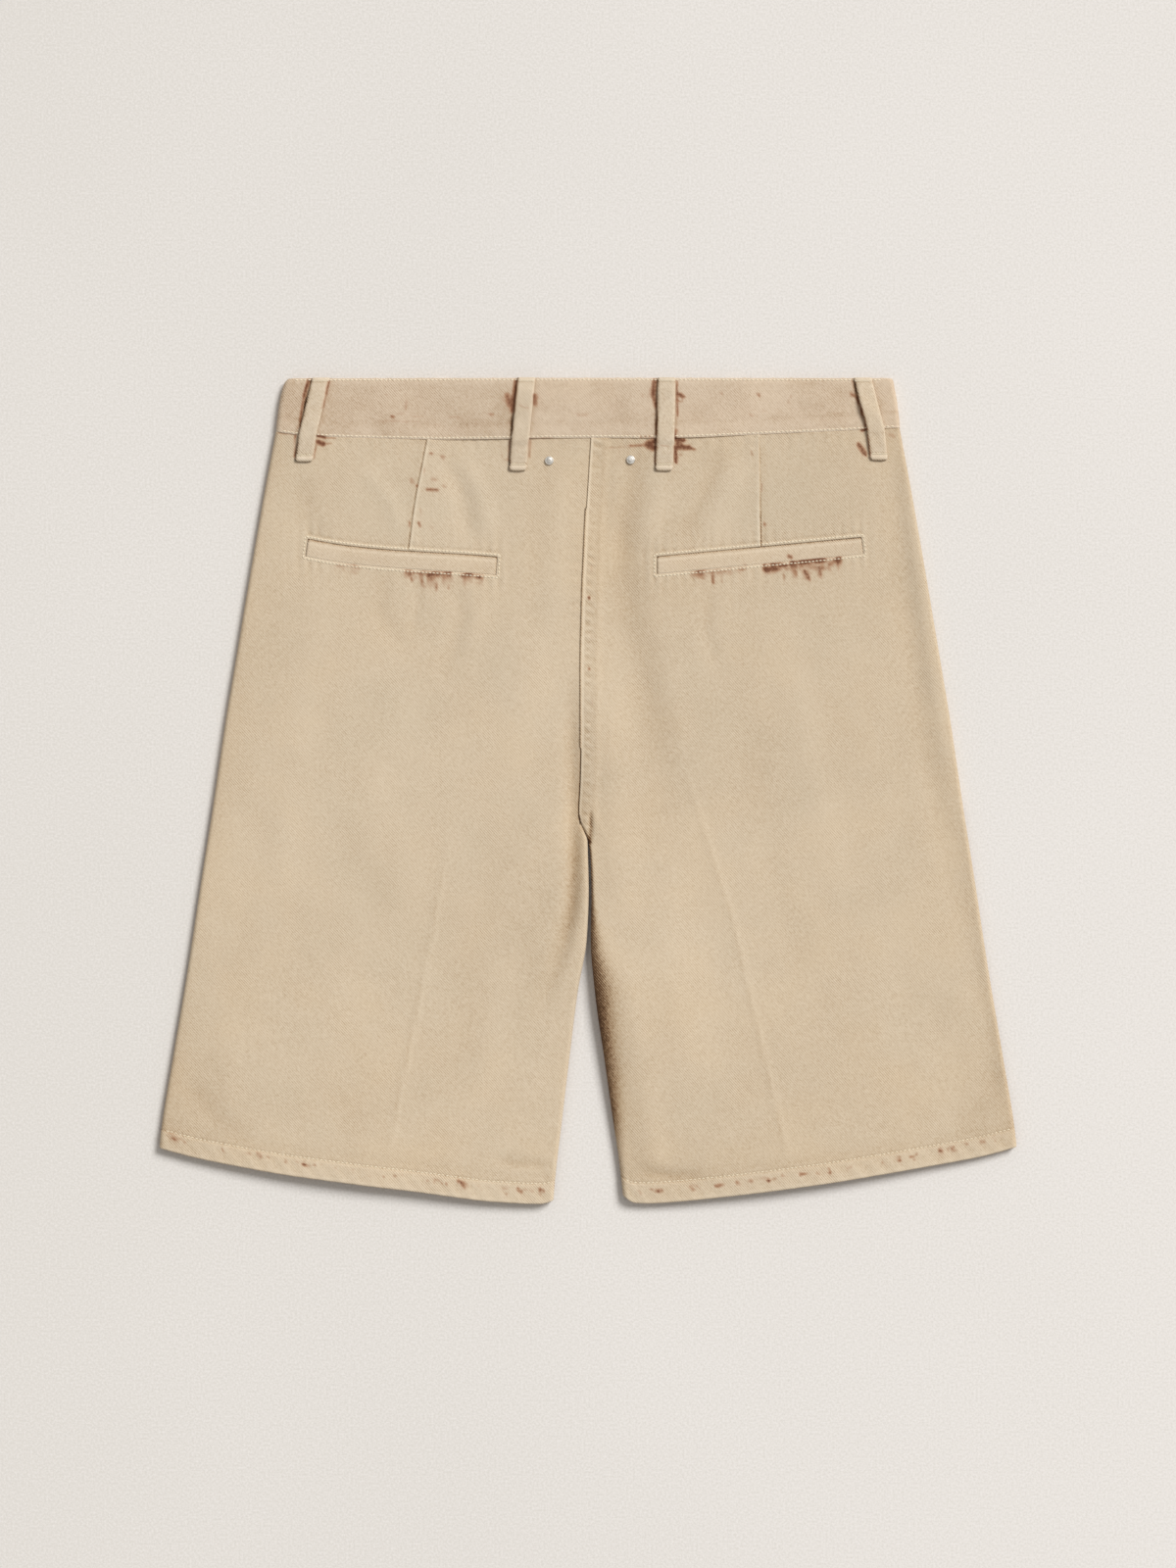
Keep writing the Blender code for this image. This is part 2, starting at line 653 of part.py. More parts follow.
def inner_end(leg, v):
    """x of the front's inner edge, and how far it lies above the other front."""
    s = section(leg, v)
    if v > CROTCH:
        return s["inner_x"], 0.0
    ys = [-value for value in column(FLY, 0)]
    edge = column(FLY, 1 if leg == "left" else 2)
    lap = column(FLY, 3) if leg == "right" else [0.0] * len(FLY)
    return np.interp(-s["inner_y"], ys, edge), np.interp(-s["inner_y"], ys, lap)


def side_row(leg, v, notch, notch_end):
    """Outer points at the side seam, or at the slanted pocket opening, and the
    distance from the side seam at which they end."""
    s = section(leg, v)
    reach = half_round(s["rim"])
    if v <= notch:
        start = pocket_line(s["side_y"])
        places = [distance for distance, _ in edge_columns(reach, 0.0)]
        return [front_point(leg, start + place, 1.0, v) for place in places], start + reach
    trim = EDGE_TRIM if v == notch_end else 0.0
    places = edge_columns(reach, 1.0)
    return [front_point(leg, place, share, v, trim=trim) for place, share in places], reach


def front_row(leg, v, notch, notch_end):
    """Outer points of the front along one section."""
    s = section(leg, v)
    inner_x, lap = inner_end(leg, v)
    length = abs(inner_x - s["side_x"])
    reach = half_round(s["inner"])
    row, first = side_row(leg, v, notch, notch_end)
    lap_u = 1.0 - (abs(inner_x) + FLY_EDGE_X + 1.0) / length if lap else PLAIN_LAP
    ramp_u = lap_u - LAP_RAMP / length if lap else PLAIN_RAMP
    for i in range(FRONT_COLUMNS):
        distance = first + (ramp_u * length - first) * (i + 1) / FRONT_COLUMNS
        row.append(front_point(leg, distance, 1.0, v))
    rise = lap * (CLOTH + GAP)
    flat_end = length - reach - FLAT_CLEAR
    row.append(front_point(leg, lap_u * length, 1.0, v, rise))
    row.append(front_point(leg, (lap_u * length + flat_end) / 2.0, 1.0, v, rise))
    trim = EDGE_TRIM if abs(v - CROTCH) < TRIM_REACH else 0.0
    for distance, share in reversed(edge_columns(reach, s["roll"])):
        row.append(front_point(leg, length - distance, share, v, rise, trim, "inner"))
    return row


def make_front(leg):
    """Front panel, with its rounded seam edges, pocket slant and fly edge."""
    notch = v_where(leg, "side_y", POCKET_END_Y)
    notch_end = v_where(leg, "side_y", POCKET_END_Y - NOTCH)
    vs = front_sections(leg, notch, notch_end)
    rows = [front_row(leg, v, notch, notch_end) for v in vs]
    panel = add_object("front_" + leg, lofted_surface("front_" + leg, rows, leg == "right"), TWILL)
    width = len(rows[0])
    hem_first = vs.index(float(HEM_BAND)) * width
    add_wall(panel, CLOTH, range(hem_first, width * len(vs)), HEM_WALL)


def make_facing(leg):
    """Cloth behind the slanted pocket opening, seamed in at the side."""
    notch = v_where(leg, "side_y", POCKET_END_Y + GAP + FACING_CLEAR)
    rows = []
    for j in range(FACING_ROWS):
        v = notch * j / (FACING_ROWS - 1)
        s = section(leg, v)
        reach = half_round(s["rim"])
        places = edge_columns(reach, 1.0)
        last = pocket_line(s["side_y"]) + FACING_UNDERLAP
        for i in range(FACING_COLUMNS):
            places.append((reach + (last - reach) * (i + 1) / FACING_COLUMNS, 1.0))
        rows.append([front_point(leg, place, share, v, CLOTH + GAP) for place, share in places])
    name = "pocket_facing_" + leg
    add_wall(add_object(name, lofted_surface(name, rows, leg == "right"), TWILL), CLOTH)


def band_columns(width, y):
    """Outer points of the waistband at one height, right round the waist."""
    radius = band_height(width) / 2.0
    row = []
    for share in BAND_OUTER_FRONT:
        x = BAND_LAP_END + (radius - width - BAND_LAP_END) * share
        row.append((x, y, front_lift(x, WAIST_Y)))
    for degrees in BAND_TURN:
        a = math.radians(degrees)
        row.append((-width + radius * (1.0 - math.cos(a)), y, radius + radius * math.sin(a)))
    for i in range(1, BAND_BACK_COLUMNS):
        x = -width + radius + 2.0 * (width - radius) * i / BAND_BACK_COLUMNS
        row.append((x, y, band_height(x)))
    for degrees in reversed(BAND_TURN):
        a = math.radians(degrees)
        row.append((width - radius * (1.0 - math.cos(a)), y, radius + radius * math.sin(a)))
    ramp_end = BAND_LAP_END + LAP_CLEAR
    ramp_start = ramp_end + LAP_RAMP
    for share in BAND_UNDER_FRONT:
        x = width - radius + (ramp_start - width + radius) * share
        row.append((x, y, front_lift(x, WAIST_Y)))
    over = FRONT_LIFT + BAND_WALL + GAP
    for x in (ramp_end, (ramp_end + BAND_UNDERLAP_END) / 2.0, BAND_UNDERLAP_END):
        row.append((x, y, over))
    return row


def make_waistband():
    rows = []
    for share in BAND_ROWS:
        row = []
        flat_y = WAIST_Y - share * (WAIST_Y - WAIST_SEAM_Y)
        for x, y, z in band_columns(half_width(flat_y), flat_y):
            foot = waist_seam_y(x) + GAP / 2.0
            row.append((x, WAIST_Y + (foot - WAIST_Y) * share, z))
        rows.append(row)
    band = add_object("waistband", lofted_surface("waistband", rows, True), TWILL_BAND)
    add_wall(band, BAND_WALL)


def make_back_loop(name, x_top, x_seam, x_foot, y_foot):
    """A belt loop over the waistband, sewn down at both ends."""
    seam = waist_seam_y(x_seam)
    origins = {"top": WAIST_Y, "seam": seam, "foot": y_foot}
    rows = []
    for origin, shift, arch in LOOP_ROWS:
        y = origins[origin] + shift
        centre = np.interp(y, (y_foot, seam, WAIST_Y), (x_foot, x_seam, x_top))
        row = []
        for across in (-0.5, 0.0, 0.5):
            x = centre + across * LOOP_WIDTH
            base = band_height(x) if y > seam - 1.0 else top_of_back(x, y)
            row.append((x, y, base + LOOP_CLEAR + LOOP_ARCH * arch))
        rows.append(row)
    title = "belt_loop_" + name
    loop = add_object(title, lofted_surface(title, rows, True), TWILL_PALE)
    add_wall(loop, LOOP_WALL, side=1.0)


def make_front_loop(name, x, y_foot):
    """A belt loop of the front, flat between the waistband and the surface."""
    rows = []
    for y in (WAIST_Y - 0.3, (WAIST_Y + y_foot) / 2.0, y_foot):
        rows.append([(x + across * LOOP_WIDTH, y, 0.0) for across in (-0.5, 0.0, 0.5)])
    title = "belt_loop_" + name
    loop = add_object(title, lofted_surface(title, rows, False), TWILL_PALE)
    add_wall(loop, FRONT_LIFT - GAP)


def make_button():
    """Button of the waistband, on the front's outer side."""
    mesh = bpy.data.meshes.new("waist_button")
    bm = bmesh.new()
    bmesh.ops.create_cone(
        bm, cap_ends=True, segments=24, radius1=BUTTON_RADIUS * MM,
        radius2=BUTTON_RADIUS * MM, depth=BUTTON_THICKNESS * MM)
    bm.to_mesh(mesh)
    bm.free()
    button = add_object("waist_button", mesh, HORN, 0.4)
    middle_y = (WAIST_Y + waist_seam_y(BUTTON_X)) / 2.0
    button.location = (BUTTON_X * MM, middle_y * MM, (BUTTON_THICKNESS / 2.0 + BUTTON_CLEAR) * MM)
    bevel = button.modifiers.new("edge", "BEVEL")
    bevel.width = 0.3 * MM
    bevel.segments = 1


def make_stud(side, x, y):
    """A plain round rivet: a low dome turned on its own axis."""
    mesh = bpy.data.meshes.new("rivet_" + side)
    bm = bmesh.new()
    profile = [(RIVET_RADIUS, -RIVET_SKIRT)]
    for degrees in RIVET_ANGLES:
        a = math.radians(degrees)
        profile.append((RIVET_RADIUS * math.cos(a), RIVET_RISE * math.sin(a)))
    turns = [2.0 * math.pi * i / RIVET_SIDES for i in range(RIVET_SIDES)]
    rings = []
    for radius, height in profile:
        points = [(radius * math.cos(a) * MM, radius * math.sin(a) * MM, height * MM) for a in turns]
        rings.append([bm.verts.new(point) for point in points])
    for lower, upper in zip(rings, rings[1:]):
        for i in range(RIVET_SIDES):
            following = (i + 1) % RIVET_SIDES
            bm.faces.new((lower[i], lower[following], upper[following], upper[i]))
    bm.faces.new(list(reversed(rings[0])))
    bm.faces.new(rings[-1])
    bm.to_mesh(mesh)
    bm.free()
    rivet = add_object("rivet_" + side, mesh, METAL, 0.35, 1.0)
    highest = max(
        top_of_back(x + RIVET_RADIUS * math.cos(a), y + RIVET_RADIUS * math.sin(a)) for a in turns)
    rivet.location = (x * MM, y * MM, (highest + GAP + RIVET_SKIRT) * MM)


def clear_scene():
    for thing in list(bpy.data.objects):
        bpy.data.objects.remove(thing, do_unlink=True)
    holder = bpy.data.collections.new(COLLECTION)
    bpy.context.scene.collection.children.link(holder)


def build_shorts():
    clear_scene()
    for leg, welt_start, welt_end, _ in WELTS:
        make_back(leg, welt_start, welt_end)
        make_welt(leg, welt_start, welt_end)
        make_front(leg)
        make_facing(leg)
    make_waistband()
    for row in BACK_LOOPS:
        make_back_loop(*row)
    for row in FRONT_LOOPS:
        make_front_loop(*row)
    make_button()
    for row in STUDS:
        make_stud(*row)


build_shorts()
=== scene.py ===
"""Bermuda shorts of sand-coloured cotton twill, laid flat with the back side up.

Blender 4.5.  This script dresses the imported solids.  The tables are in
millimetres in the frame's own axes: X runs across the shorts (the wearer's left
leg is at -X), Y up to the waist, Z up from the surface that they lie on.

A leg's surface is worked out from sections that run from the side seam (u = 0)
to the centre seam or the inseam (u = 1).  v counts the sections, from the
waist seam (v = 0) down to the hem.
"""
import math

import bpy
import numpy as np
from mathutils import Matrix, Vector
from mathutils.bvhtree import BVHTree


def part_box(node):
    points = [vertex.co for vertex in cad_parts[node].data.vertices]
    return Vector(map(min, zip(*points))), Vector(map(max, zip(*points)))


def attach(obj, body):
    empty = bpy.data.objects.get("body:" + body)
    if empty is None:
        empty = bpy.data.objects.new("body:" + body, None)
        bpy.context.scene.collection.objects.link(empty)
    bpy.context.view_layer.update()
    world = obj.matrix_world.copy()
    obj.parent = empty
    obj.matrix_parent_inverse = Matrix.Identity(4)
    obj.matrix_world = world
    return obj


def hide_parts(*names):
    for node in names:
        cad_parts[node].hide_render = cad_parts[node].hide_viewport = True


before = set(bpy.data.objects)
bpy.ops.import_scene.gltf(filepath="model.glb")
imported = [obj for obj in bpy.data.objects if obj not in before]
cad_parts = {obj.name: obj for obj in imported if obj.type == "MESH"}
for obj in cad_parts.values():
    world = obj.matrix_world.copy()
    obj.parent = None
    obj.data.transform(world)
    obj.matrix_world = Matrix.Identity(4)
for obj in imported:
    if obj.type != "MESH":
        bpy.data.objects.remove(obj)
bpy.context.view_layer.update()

MM = 0.001
LEGS = ("left", "right")
SIDE = {"left": -1.0, "right": 1.0}     # which way each leg lies along X
UP = (0.0, 0.0, 1.0)
DOWN = (0.0, 0.0, -1.0)

# ---------------------------------------------------------------- the solids' sizes

# Cloth, in millimetres.
CLOTH = 1.2             # wall of a panel
HEM_WALL = 2.2          # the same at the hem, which is turned up twice
BAND_WALL = 2.0         # waistband, two layers and a stiffener
WELT_WALL = 1.8         # pocket welt, folded double
LOOP_WALL = 1.8         # belt loop, folded in three
GAP = 0.3               # between pieces at a seam

# Waistband.
WAIST_Y = 294.0         # its top edge
WAIST_SEAM_Y = 257.0    # about where its lower edge is
BAND_LAP_END = 6.0      # x of the outer end, past the centre front
BAND_UNDERLAP_END = -34.0
STRIP = 9.5             # height of the flatter strip along its lower edge
LAP_RAMP = 5.0          # length of the step from the underlap to the single wall
BAND_HEIGHTS = ((0.0, 8.7), (60.0, 8.7), (115.0, 7.7), (190.0, 6.9), (225.0, 6.9))

# Front: the panels lift off the surface where loops and button lie under them.
FRONT_LIFT = 1.9
LIFT_FULL_X = 122.0
LIFT_END_X = 188.0
LIFT_FULL_Y = 228.0
LIFT_END_Y = 185.0
FLY_EDGE_X = 4.0        # edge of the outer, left front at the fly
FLY_END_Y = 97.0        # the fly closes here and the seam goes on to the crotch

# Slanted side pockets in the front.
POCKET_TOP = 48.0       # the opening's distance from the side seam at the waist
POCKET_FOOT = 6.5       # and at its lower end
POCKET_END_Y = 72.0
NOTCH = 1.5             # height of the step below the opening
EDGE_TRIM = 0.5         # cut off the seam edge where it turns out of its plane
FRONT_HEM_SHORT = 1.5   # the front hem stays hidden behind the back's
FACING_UNDERLAP = 22.0  # how far the facing runs on behind the opening

LOOP_WIDTH = 12.6
LOOP_TACK = 4.6         # from a loop's foot up to its bar tack
LOOP_FOLD = 3.0         # length of its folded foot
LOOP_ARCH = 1.2         # room for a belt under a loop, as it lies flat
BUTTON_RADIUS = 7.5
BUTTON_THICKNESS = 1.5
BUTTON_X = -8.0
BUTTON_HOLE = 0.75      # radius
BUTTON_HOLE_PLACE = 2.0 # distance of each hole from the middle
RIVET_RADIUS = 3.1
RIVET_RISE = 1.0

EDGE_FLAT = 0.12        # share of a rounded edge's height that is upright

# Outline: y, half width.
OUTLINE = (
    (294.0, 213.5),
    (292.0, 216.0),
    (256.5, 222.6),
    (214.5, 230.4),
    (158.5, 240.2),
    (102.5, 249.6),
    (46.5, 258.9),
    (-9.5, 267.2),
    (-65.5, 276.0),
    (-128.5, 285.6),
    (-191.5, 296.2),
    (-244.0, 304.6),
    (-254.0, 305.6),
)

# Sections of the back, from the waist seam to the hem:
# left leg side y, inner x, inner y, then the same for the right leg.
SECTIONS = (
    (255.5, 1.9, 250.9, 258.3, 2.2, 250.9),
    (235.0, 0.4, 226.0, 237.0, 0.7, 226.0),
    (210.0, -1.4, 196.0, 212.0, -1.1, 196.0),
    (182.5, -2.9, 160.4, 184.1, -2.6, 161.7),
    (170.5, -3.5, 147.0, 172.4, -3.2, 149.0),
    (148.0, -4.2, 123.0, 149.0, -3.9, 124.0),
    (112.0, -4.9, 85.0, 112.0, -4.6, 86.0),
    (72.0, -4.9, 43.0, 72.0, -4.6, 43.0),
    (38.0, -5.5, 9.0, 38.0, -5.2, 9.0),
    (14.0, -6.6, -16.0, 14.0, -6.3, -16.0),
    (-5.0, -0.3, -36.0, -5.0, 0.1, -36.0),
    (-16.0, 0.0, -46.0, -16.0, 1.6, -46.0),
    (-42.0, 0.6, -72.0, -42.0, 2.4, -72.0),
    (-80.0, -0.8, -106.0, -80.0, 2.0, -108.0),
    (-120.0, -7.3, -144.0, -120.0, 5.0, -145.0),
    (-165.0, -13.6, -194.0, -165.0, 12.0, -194.0),
    (-205.0, -18.6, -236.0, -204.0, 17.8, -235.0),
    (-228.0, -22.0, -264.0, -227.0, 21.8, -261.0),
    (-241.5, -23.5, -278.0, -240.5, 23.4, -275.0),
    (-254.2, -24.6, -291.7, -253.4, 25.0, -288.8),
)
SECTION_COLUMNS = ("side_y", "inner_x", "inner_y")
WELT_TOP, WELT_FOOT = 3, 4      # sections along the pocket welt's long edges
WELT_MIDDLE = 3.5
SEAM_END, CROTCH = 9, 10
HEM_BAND, HEM = 18, 19
HEM_STEP = 0.06         # sections over which the front's wall thickens to the hem's
LINES = (0, WELT_TOP, WELT_FOOT, HEM_BAND, HEM)     # sections that need a row of their own
V_TABLE = np.linspace(0.0, HEM, 1901)

# Height of the upper surface at the same sections: at the side seam's edge, in
# the middle, at the inner edge of the left and of the right leg; then how far
# the inner edges are rounded down, and how far in each leg's rounding reaches.
HEIGHTS = (
    (6.4, 7.2, 8.2, 8.2, 0.0, 2.8, 2.8),
    (6.4, 6.9, 7.6, 7.6, 0.0, 2.8, 2.8),
    (6.4, 6.5, 6.9, 6.9, 0.0, 2.8, 2.8),
    (6.4, 6.3, 6.4, 6.4, 0.0, 2.8, 2.8),
    (6.4, 6.3, 6.3, 6.3, 0.0, 2.8, 2.8),
    (6.4, 6.3, 6.2, 6.2, 0.0, 2.8, 2.8),
    (6.4, 6.3, 6.0, 6.0, 0.0, 2.8, 2.8),
    (6.4, 6.3, 6.0, 6.0, 0.0, 2.8, 2.8),
    (6.4, 6.3, 6.2, 6.2, 0.0, 2.8, 2.6),
    (6.4, 6.3, 6.5, 6.5, 0.0, 2.8, 2.2),
    (6.4, 6.3, 7.0, 7.0, 1.0, 2.8, 1.8),
    (6.4, 6.3, 7.3, 7.4, 1.0, 2.8, 1.6),
    (6.4, 6.4, 7.5, 8.2, 1.0, 2.8, 2.2),
    (6.4, 6.6, 7.4, 10.2, 1.0, 2.8, 8.0),
    (6.4, 7.0, 7.1, 12.4, 1.0, 2.8, 14.5),
    (6.4, 7.7, 6.9, 11.2, 1.0, 2.8, 13.0),
    (6.6, 8.8, 7.0, 8.6, 1.0, 2.9, 9.0),
    (6.8, 9.5, 7.2, 7.6, 1.0, 3.0, 5.0),
    (7.0, 10.0, 7.4, 7.3, 1.0, 3.1, 4.0),
    (7.0, 10.4, 7.4, 7.2, 1.0, 3.1, 3.6),
)
HEIGHT_COLUMNS = ("rim", "middle", "inner_left", "inner_right", "roll", "reach_left", "reach_right")
PUFF_START = 12.0       # the right leg's inner side puffs up: distances from
PUFF_WIDTH = 110.0      # its edge where the puff starts to fall, and how far on it ends

# How far the waist seam and the hem bow below the straight section line:
# u, waist left, waist right, hem left, hem right.
BOWS = (
    (0.00, 0.0, 0.0, 0.0, 0.0),
    (0.10, 2.5, 0.4, 3.5, 3.7),
    (0.20, 3.1, 0.9, 5.3, 5.3),
    (0.35, 3.4, 1.2, 6.9, 7.3),
    (0.50, 3.4, 1.6, 6.9, 8.8),
    (0.65, 2.6, 2.1, 6.4, 9.2),
    (0.80, 1.3, 1.7, 6.7, 8.8),
    (0.90, 0.6, 0.8, 5.3, 7.8),
    (0.97, 0.2, 0.2, 3.2, 5.4),
    (1.00, 0.0, 0.0, 0.0, 0.0),
)
BOW_FADE = 3.0          # sections over which the waist's bow runs out
HEM_BOW_FADE = 9.0      # and the hem's

# The largest folds of the back: width, height, the lengths over which it rises at
# its start and dies out at its end, then the points of its line.
FOLDS = (
    (16, -1.2, 45, 150, (6, 256), (12, 224), (26, 120), (38, 50), (56, -20), (70, -80)),
    (17, -0.8, 60, 80, (74, -40), (88, -140), (100, -235)),
    (13, 1, 60, 60, (8, 100), (14, 0), (22, -70), (30, -120)),
    (12, 1.4, 90, 25, (20, -95), (29, -145), (37, -200), (45, -262), (47, -284)),
    (14, 0.9, 40, 60, (-34, 215), (-36, 190), (-46, 46), (-50, 15)),
    (17, -0.7, 40, 60, (-84, 130), (-95, 107), (-150, 0), (-165, -30)),
    (6.5, -2, 115, 110, (-11.5, 98), (-10, 0), (-9, -45), (-11, -80), (-17, -108), (-30, -146),
     (-40, -185)),
    (8, -0.6, 20, 60, (217, 248), (229, 150), (238, 60), (241, 30)),
    (9, -0.8, 20, 25, (88, 248), (52, 192), (44, 178)),
    (8, -0.6, 20, 20, (-93, 240), (-86, 186), (-85, 172)),
    (8, -0.9, 15, 30, (-85, 148), (-95, 98), (-100, 80)),
)
FOLD_EDGE_FADE = 14.0   # folds die out towards a rounded edge

# The right panel lies raised over the centre seam's allowance.
ALLOWANCE_WIDTH = 9.0
ALLOWANCE_RISE = 0.65
ALLOWANCE_STEP = 7.0    # width of the slope down beside it

# Pocket welts: u of the outer end, u of the inner end, how far it sags.
WELTS = {"left": (0.156, 0.7355, 2.3), "right": (0.172, 0.7835, 0.0)}
WELT_SAG_FADE = 2.5     # sections over which the sag runs out above and below

# Belt loops of the back: name, x at the top, at the waist seam, at the foot,
# y of the foot.
BACK_LOOPS = (
    ("side_left", -190.0, -199.8, -202.4, 234.0),
    ("back_left", -43.8, -48.1, -50.2, 227.4),
    ("back_right", 55.9, 55.2, 54.0, 227.4),
    ("side_right", 195.4, 204.8, 207.3, 235.0),
)
FRONT_LOOPS = (
    ("front_left", -105.0, 232.0),
    ("front_right", 105.0, 232.0),
)

# Front edges at the fly: y, x of the left front's edge, x of the right
# front's edge, how far the right front lies above the left one.
FLY = (
    (256.0, FLY_EDGE_X, -34.0, 1.0),
    (128.0, FLY_EDGE_X, -33.0, 1.0),
    (112.0, FLY_EDGE_X, -25.0, 1.0),
    (102.0, FLY_EDGE_X, -10.0, 1.0),
    (FLY_END_Y, -0.15, 0.15, 1.0),
    (84.0, -0.15, 0.15, 0.0),
    (0.0, -0.15, 0.15, 0.0),
    (-36.0, -0.3, 0.1, 0.0),
)

STUDS = (("left", -27.6, 234.8), ("right", 30.4, 235.4))

# ---------------------------------------------------------------- the fine relief

ROLL_COLUMNS = 9        # grid lines over a rounded edge
FINE = 0.9              # grid spacing beside a seam or a stitch line, mm
FINEST = 0.45           # beside a dart
FINEST_REACH = 3.0
COARSE = 2.4            # and on the open cloth
FINE_REACH = 14.0       # distance over which one turns into the other
INNER_STRIP = 16.0      # width of the strip beside the inner edge with its own columns
INNER_COLUMNS = 14      # and their number
FRONT_ROWS = 5.0        # rough distance between the rows of a front, mm
FRONT_COLUMNS = 44      # between the side seam and the fly
BAND_COLUMNS = 90       # of each half of the front band
UPPER_COLUMN = 120      # one that lies on the back band

# Smaller folds of the back: width, height, tone, then the points of its line. The tone is painted
# shade along a trough and painted light along a ridge.
DRAPE = (
    (12, 0.4, 0.02, (13, 75), (18, 20), (26, -30), (33, -80)),
    (12, -0.7, -0.15, (12, 232), (18, 205), (30, 125), (42, 75), (53, 30), (62, -12)),
    (8, -0.6, -0.12, (36, 250), (31, 207), (24, 160)),
    (7, 0.7, 0.12, (22, 244), (18, 200), (14, 150)),
    (8, 0.6, 0.10, (52, 240), (48, 200), (40, 165)),
    (6, -0.8, -0.17, (97, 246), (84, 214), (64, 172)),
    (7, 0.5, 0.08, (110, 238), (97, 204), (84, 174)),
    (5, -0.5, -0.10, (88, 148), (84, 116), (92, 84)),
    (12, 0.4, 0.06, (-48, 195), (-54, 110), (-57, 45), (-53, -20)),
    (9, -0.45, -0.07, (-33, 244), (-36, 205), (-38, 150), (-42, 90)),
    (8, 0.4, 0.06, (-18, 240), (-20, 180), (-21, 110)),
    (6, -0.4, -0.30, (-10.5, 92), (-10.5, 30), (-8, -30), (-10, -82), (-17, -108), (-25, -134),
     (-31, -158)),
    (5, -0.2, -0.20, (-8.2, -28), (-9.5, -62), (-12.5, -90), (-17, -110)),
    (7, -0.5, -0.07, (-102, 160), (-89, 126), (-99, 98), (-110, 76)),
    (8, 0.45, 0.06, (-92, 150), (-82, 122), (-90, 94)),
    (6.5, -0.45, -0.08, (-146, 158), (-148, 126), (-132, 100)),
    (4, -0.45, -0.09, (-122, 158), (-121, 132), (-126, 108)),
    (7, -0.6, -0.09, (-104, 240), (-88, 208), (-84, 172)),
    (8, 0.6, 0.09, (-93, 238), (-75, 210), (-69, 176)),
    (6, 0.5, 0.09, (-160, 232), (-140, 205), (-132, 178)),
    (9, -0.6, -0.09, (-205, 226), (-199, 190), (-188, 168)),
    (9, -0.7, -0.10, (209, 240), (217, 190), (226, 126), (238, 45), (258, -50)),
    (11, -0.5, -0.04, (240, 30), (263, -69), (286, -174), (292, -225)),
    (6, 0.5, 0.10, (226, 226), (236, 160), (246, 90), (262, -10)),
    (14, 0.5, 0.05, (140, 110), (160, 20), (182, -90)),
    (12, -0.4, -0.05, (118, 60), (128, -40), (160, -160)),
    (12, 0.4, 0.05, (-190, 130), (-205, 30), (-225, -90)),
    (9, -0.25, -0.03, (-70, -60), (-84, -150), (-100, -230)),
    (10, 0.5, 0.07, (-55, -110), (-68, -190), (-80, -245)),
    (4, -0.6, -0.22, (-68, -263), (-46, -266), (-27, -267.5)),
    (4.5, -0.7, -0.20, (30, -268), (58, -275), (86, -275.5)),
    (8, -0.5, -0.12, (-286, -205), (-262, -236), (-236, -252)),
    (8, -0.5, -0.10, (296, -190), (284, -222), (262, -246)),
)

# Broad zones of the washed cloth: x, y, reach across, reach up, tone, warmth. The tone is painted
# light and shade of the broad drape.
ZONES = (
    (-118, 203, 78, 26, 0, -0.8), (122, 198, 72, 26, 0, -0.8), (-128, 70, 34, 50, 0, -0.6),
    (-165, -15, 40, 46, 0, -0.6), (-136, -112, 28, 44, 0, -0.5), (92, 20, 22, 46, 0, -0.6),
    (156, 4, 20, 20, 0, -0.4), (4, 185, 40, 72, 0, 0.7), (-8, -24, 9, 52, 0, 0.9),
    (-256, 0, 18, 190, 0, 0.2), (258, 0, 18, 190, 0.02, 0.3), (-160, -262, 150, 14, 0, 0.5),
    (160, -262, 150, 14, 0, 0.5), (-288, -222, 44, 60, -0.10, 0.2), (290, -215, 44, 60, -0.10, 0.2),
    (-30, 60, 22, 60, 0.06, 0), (-88, -110, 26, 90, 0.02, 0), (70, 20, 14, 30, 0.08, 0),
    (106, 48, 26, 26, 0.06, 0), (-165, -225, 70, 44, -0.11, 0), (200, -222, 60, 40, -0.04, 0),
    (-34, -105, 26, 60, -0.12, 0), (38, -30, 26, 50, -0.08, 0), (46, -190, 32, 100, -0.08, 0),
    (196, 105, 30, 60, 0.06, 0),
)

# Pressed crease of each leg, x and y of three points.
CREASES = {
    "left": ((-97.0, -22.0), (-115.5, -125.0), (-141.0, -250.0)),
    "right": ((64.0, 30.0), (103.0, -93.0), (141.0, -257.0)),
}
CREASE_HEIGHT = 0.38
CREASE_WIDTH = 1.8

# Darts of the back: the points that the stitched line runs through.
DARTS = {
    "left": ((-114.5, 250.5), (-119.0, 227.0), (-121.8, 214.0), (-124.4, 198.0), (-127.8, 170.5)),
    "right": ((121.8, 251.0), (122.3, 225.0), (122.5, 200.0), (123.0, 172.0)),
}
DART_STEP = 0.6
DART_U = {"left": 0.475, "right": 0.466}

# Sides of the waistband: y, distance out to the left, to the right.
BAND_SIDES = (
    (294.0, 212.8, 216.6),
    (292.5, 215.0, 217.6),
    (288.0, 217.3, 218.4),
    (274.5, 220.6, 220.8),
    (256.5, 222.6, 222.6),
)

# Rims of the cloth: degrees round the rim and tone of each line of points, a painted shade that
# deepens as the rim turns under.
RIM_SHADE_LINES = ((45.0, -0.15), (90.0, -0.6), (135.0, -0.9))
# The cloth's hidden side is darker: painted shade.
INNER_PAINTED_SHADE = -0.4       # tone of the cloth's hidden side
SEAM_BULGE = 0.4        # rims that stand out less than this meet another piece
STITCH_PITCH = 3.0
STITCH_LENGTH = 2.3
STITCH_DROP = 1.2       # no stitch spans a step that is higher than this
TACK_PITCH = 0.62       # between the stitches of a bar tack
THREAD_RADIUS = 0.34
WELT_THREAD = 0.44      # round the pocket welts and along the waistband
UNDER_SUNK = 0.26       # threads of the underside lie sunk, so that it rests flat
WELT_STITCH = 1.7       # from the pocket opening out to its edge stitching
BAND_STITCH = 1.4       # from the waistband's edges in to their stitching
BAND_SPLIT = 4.2        # height between the waistband's upper and lower layer

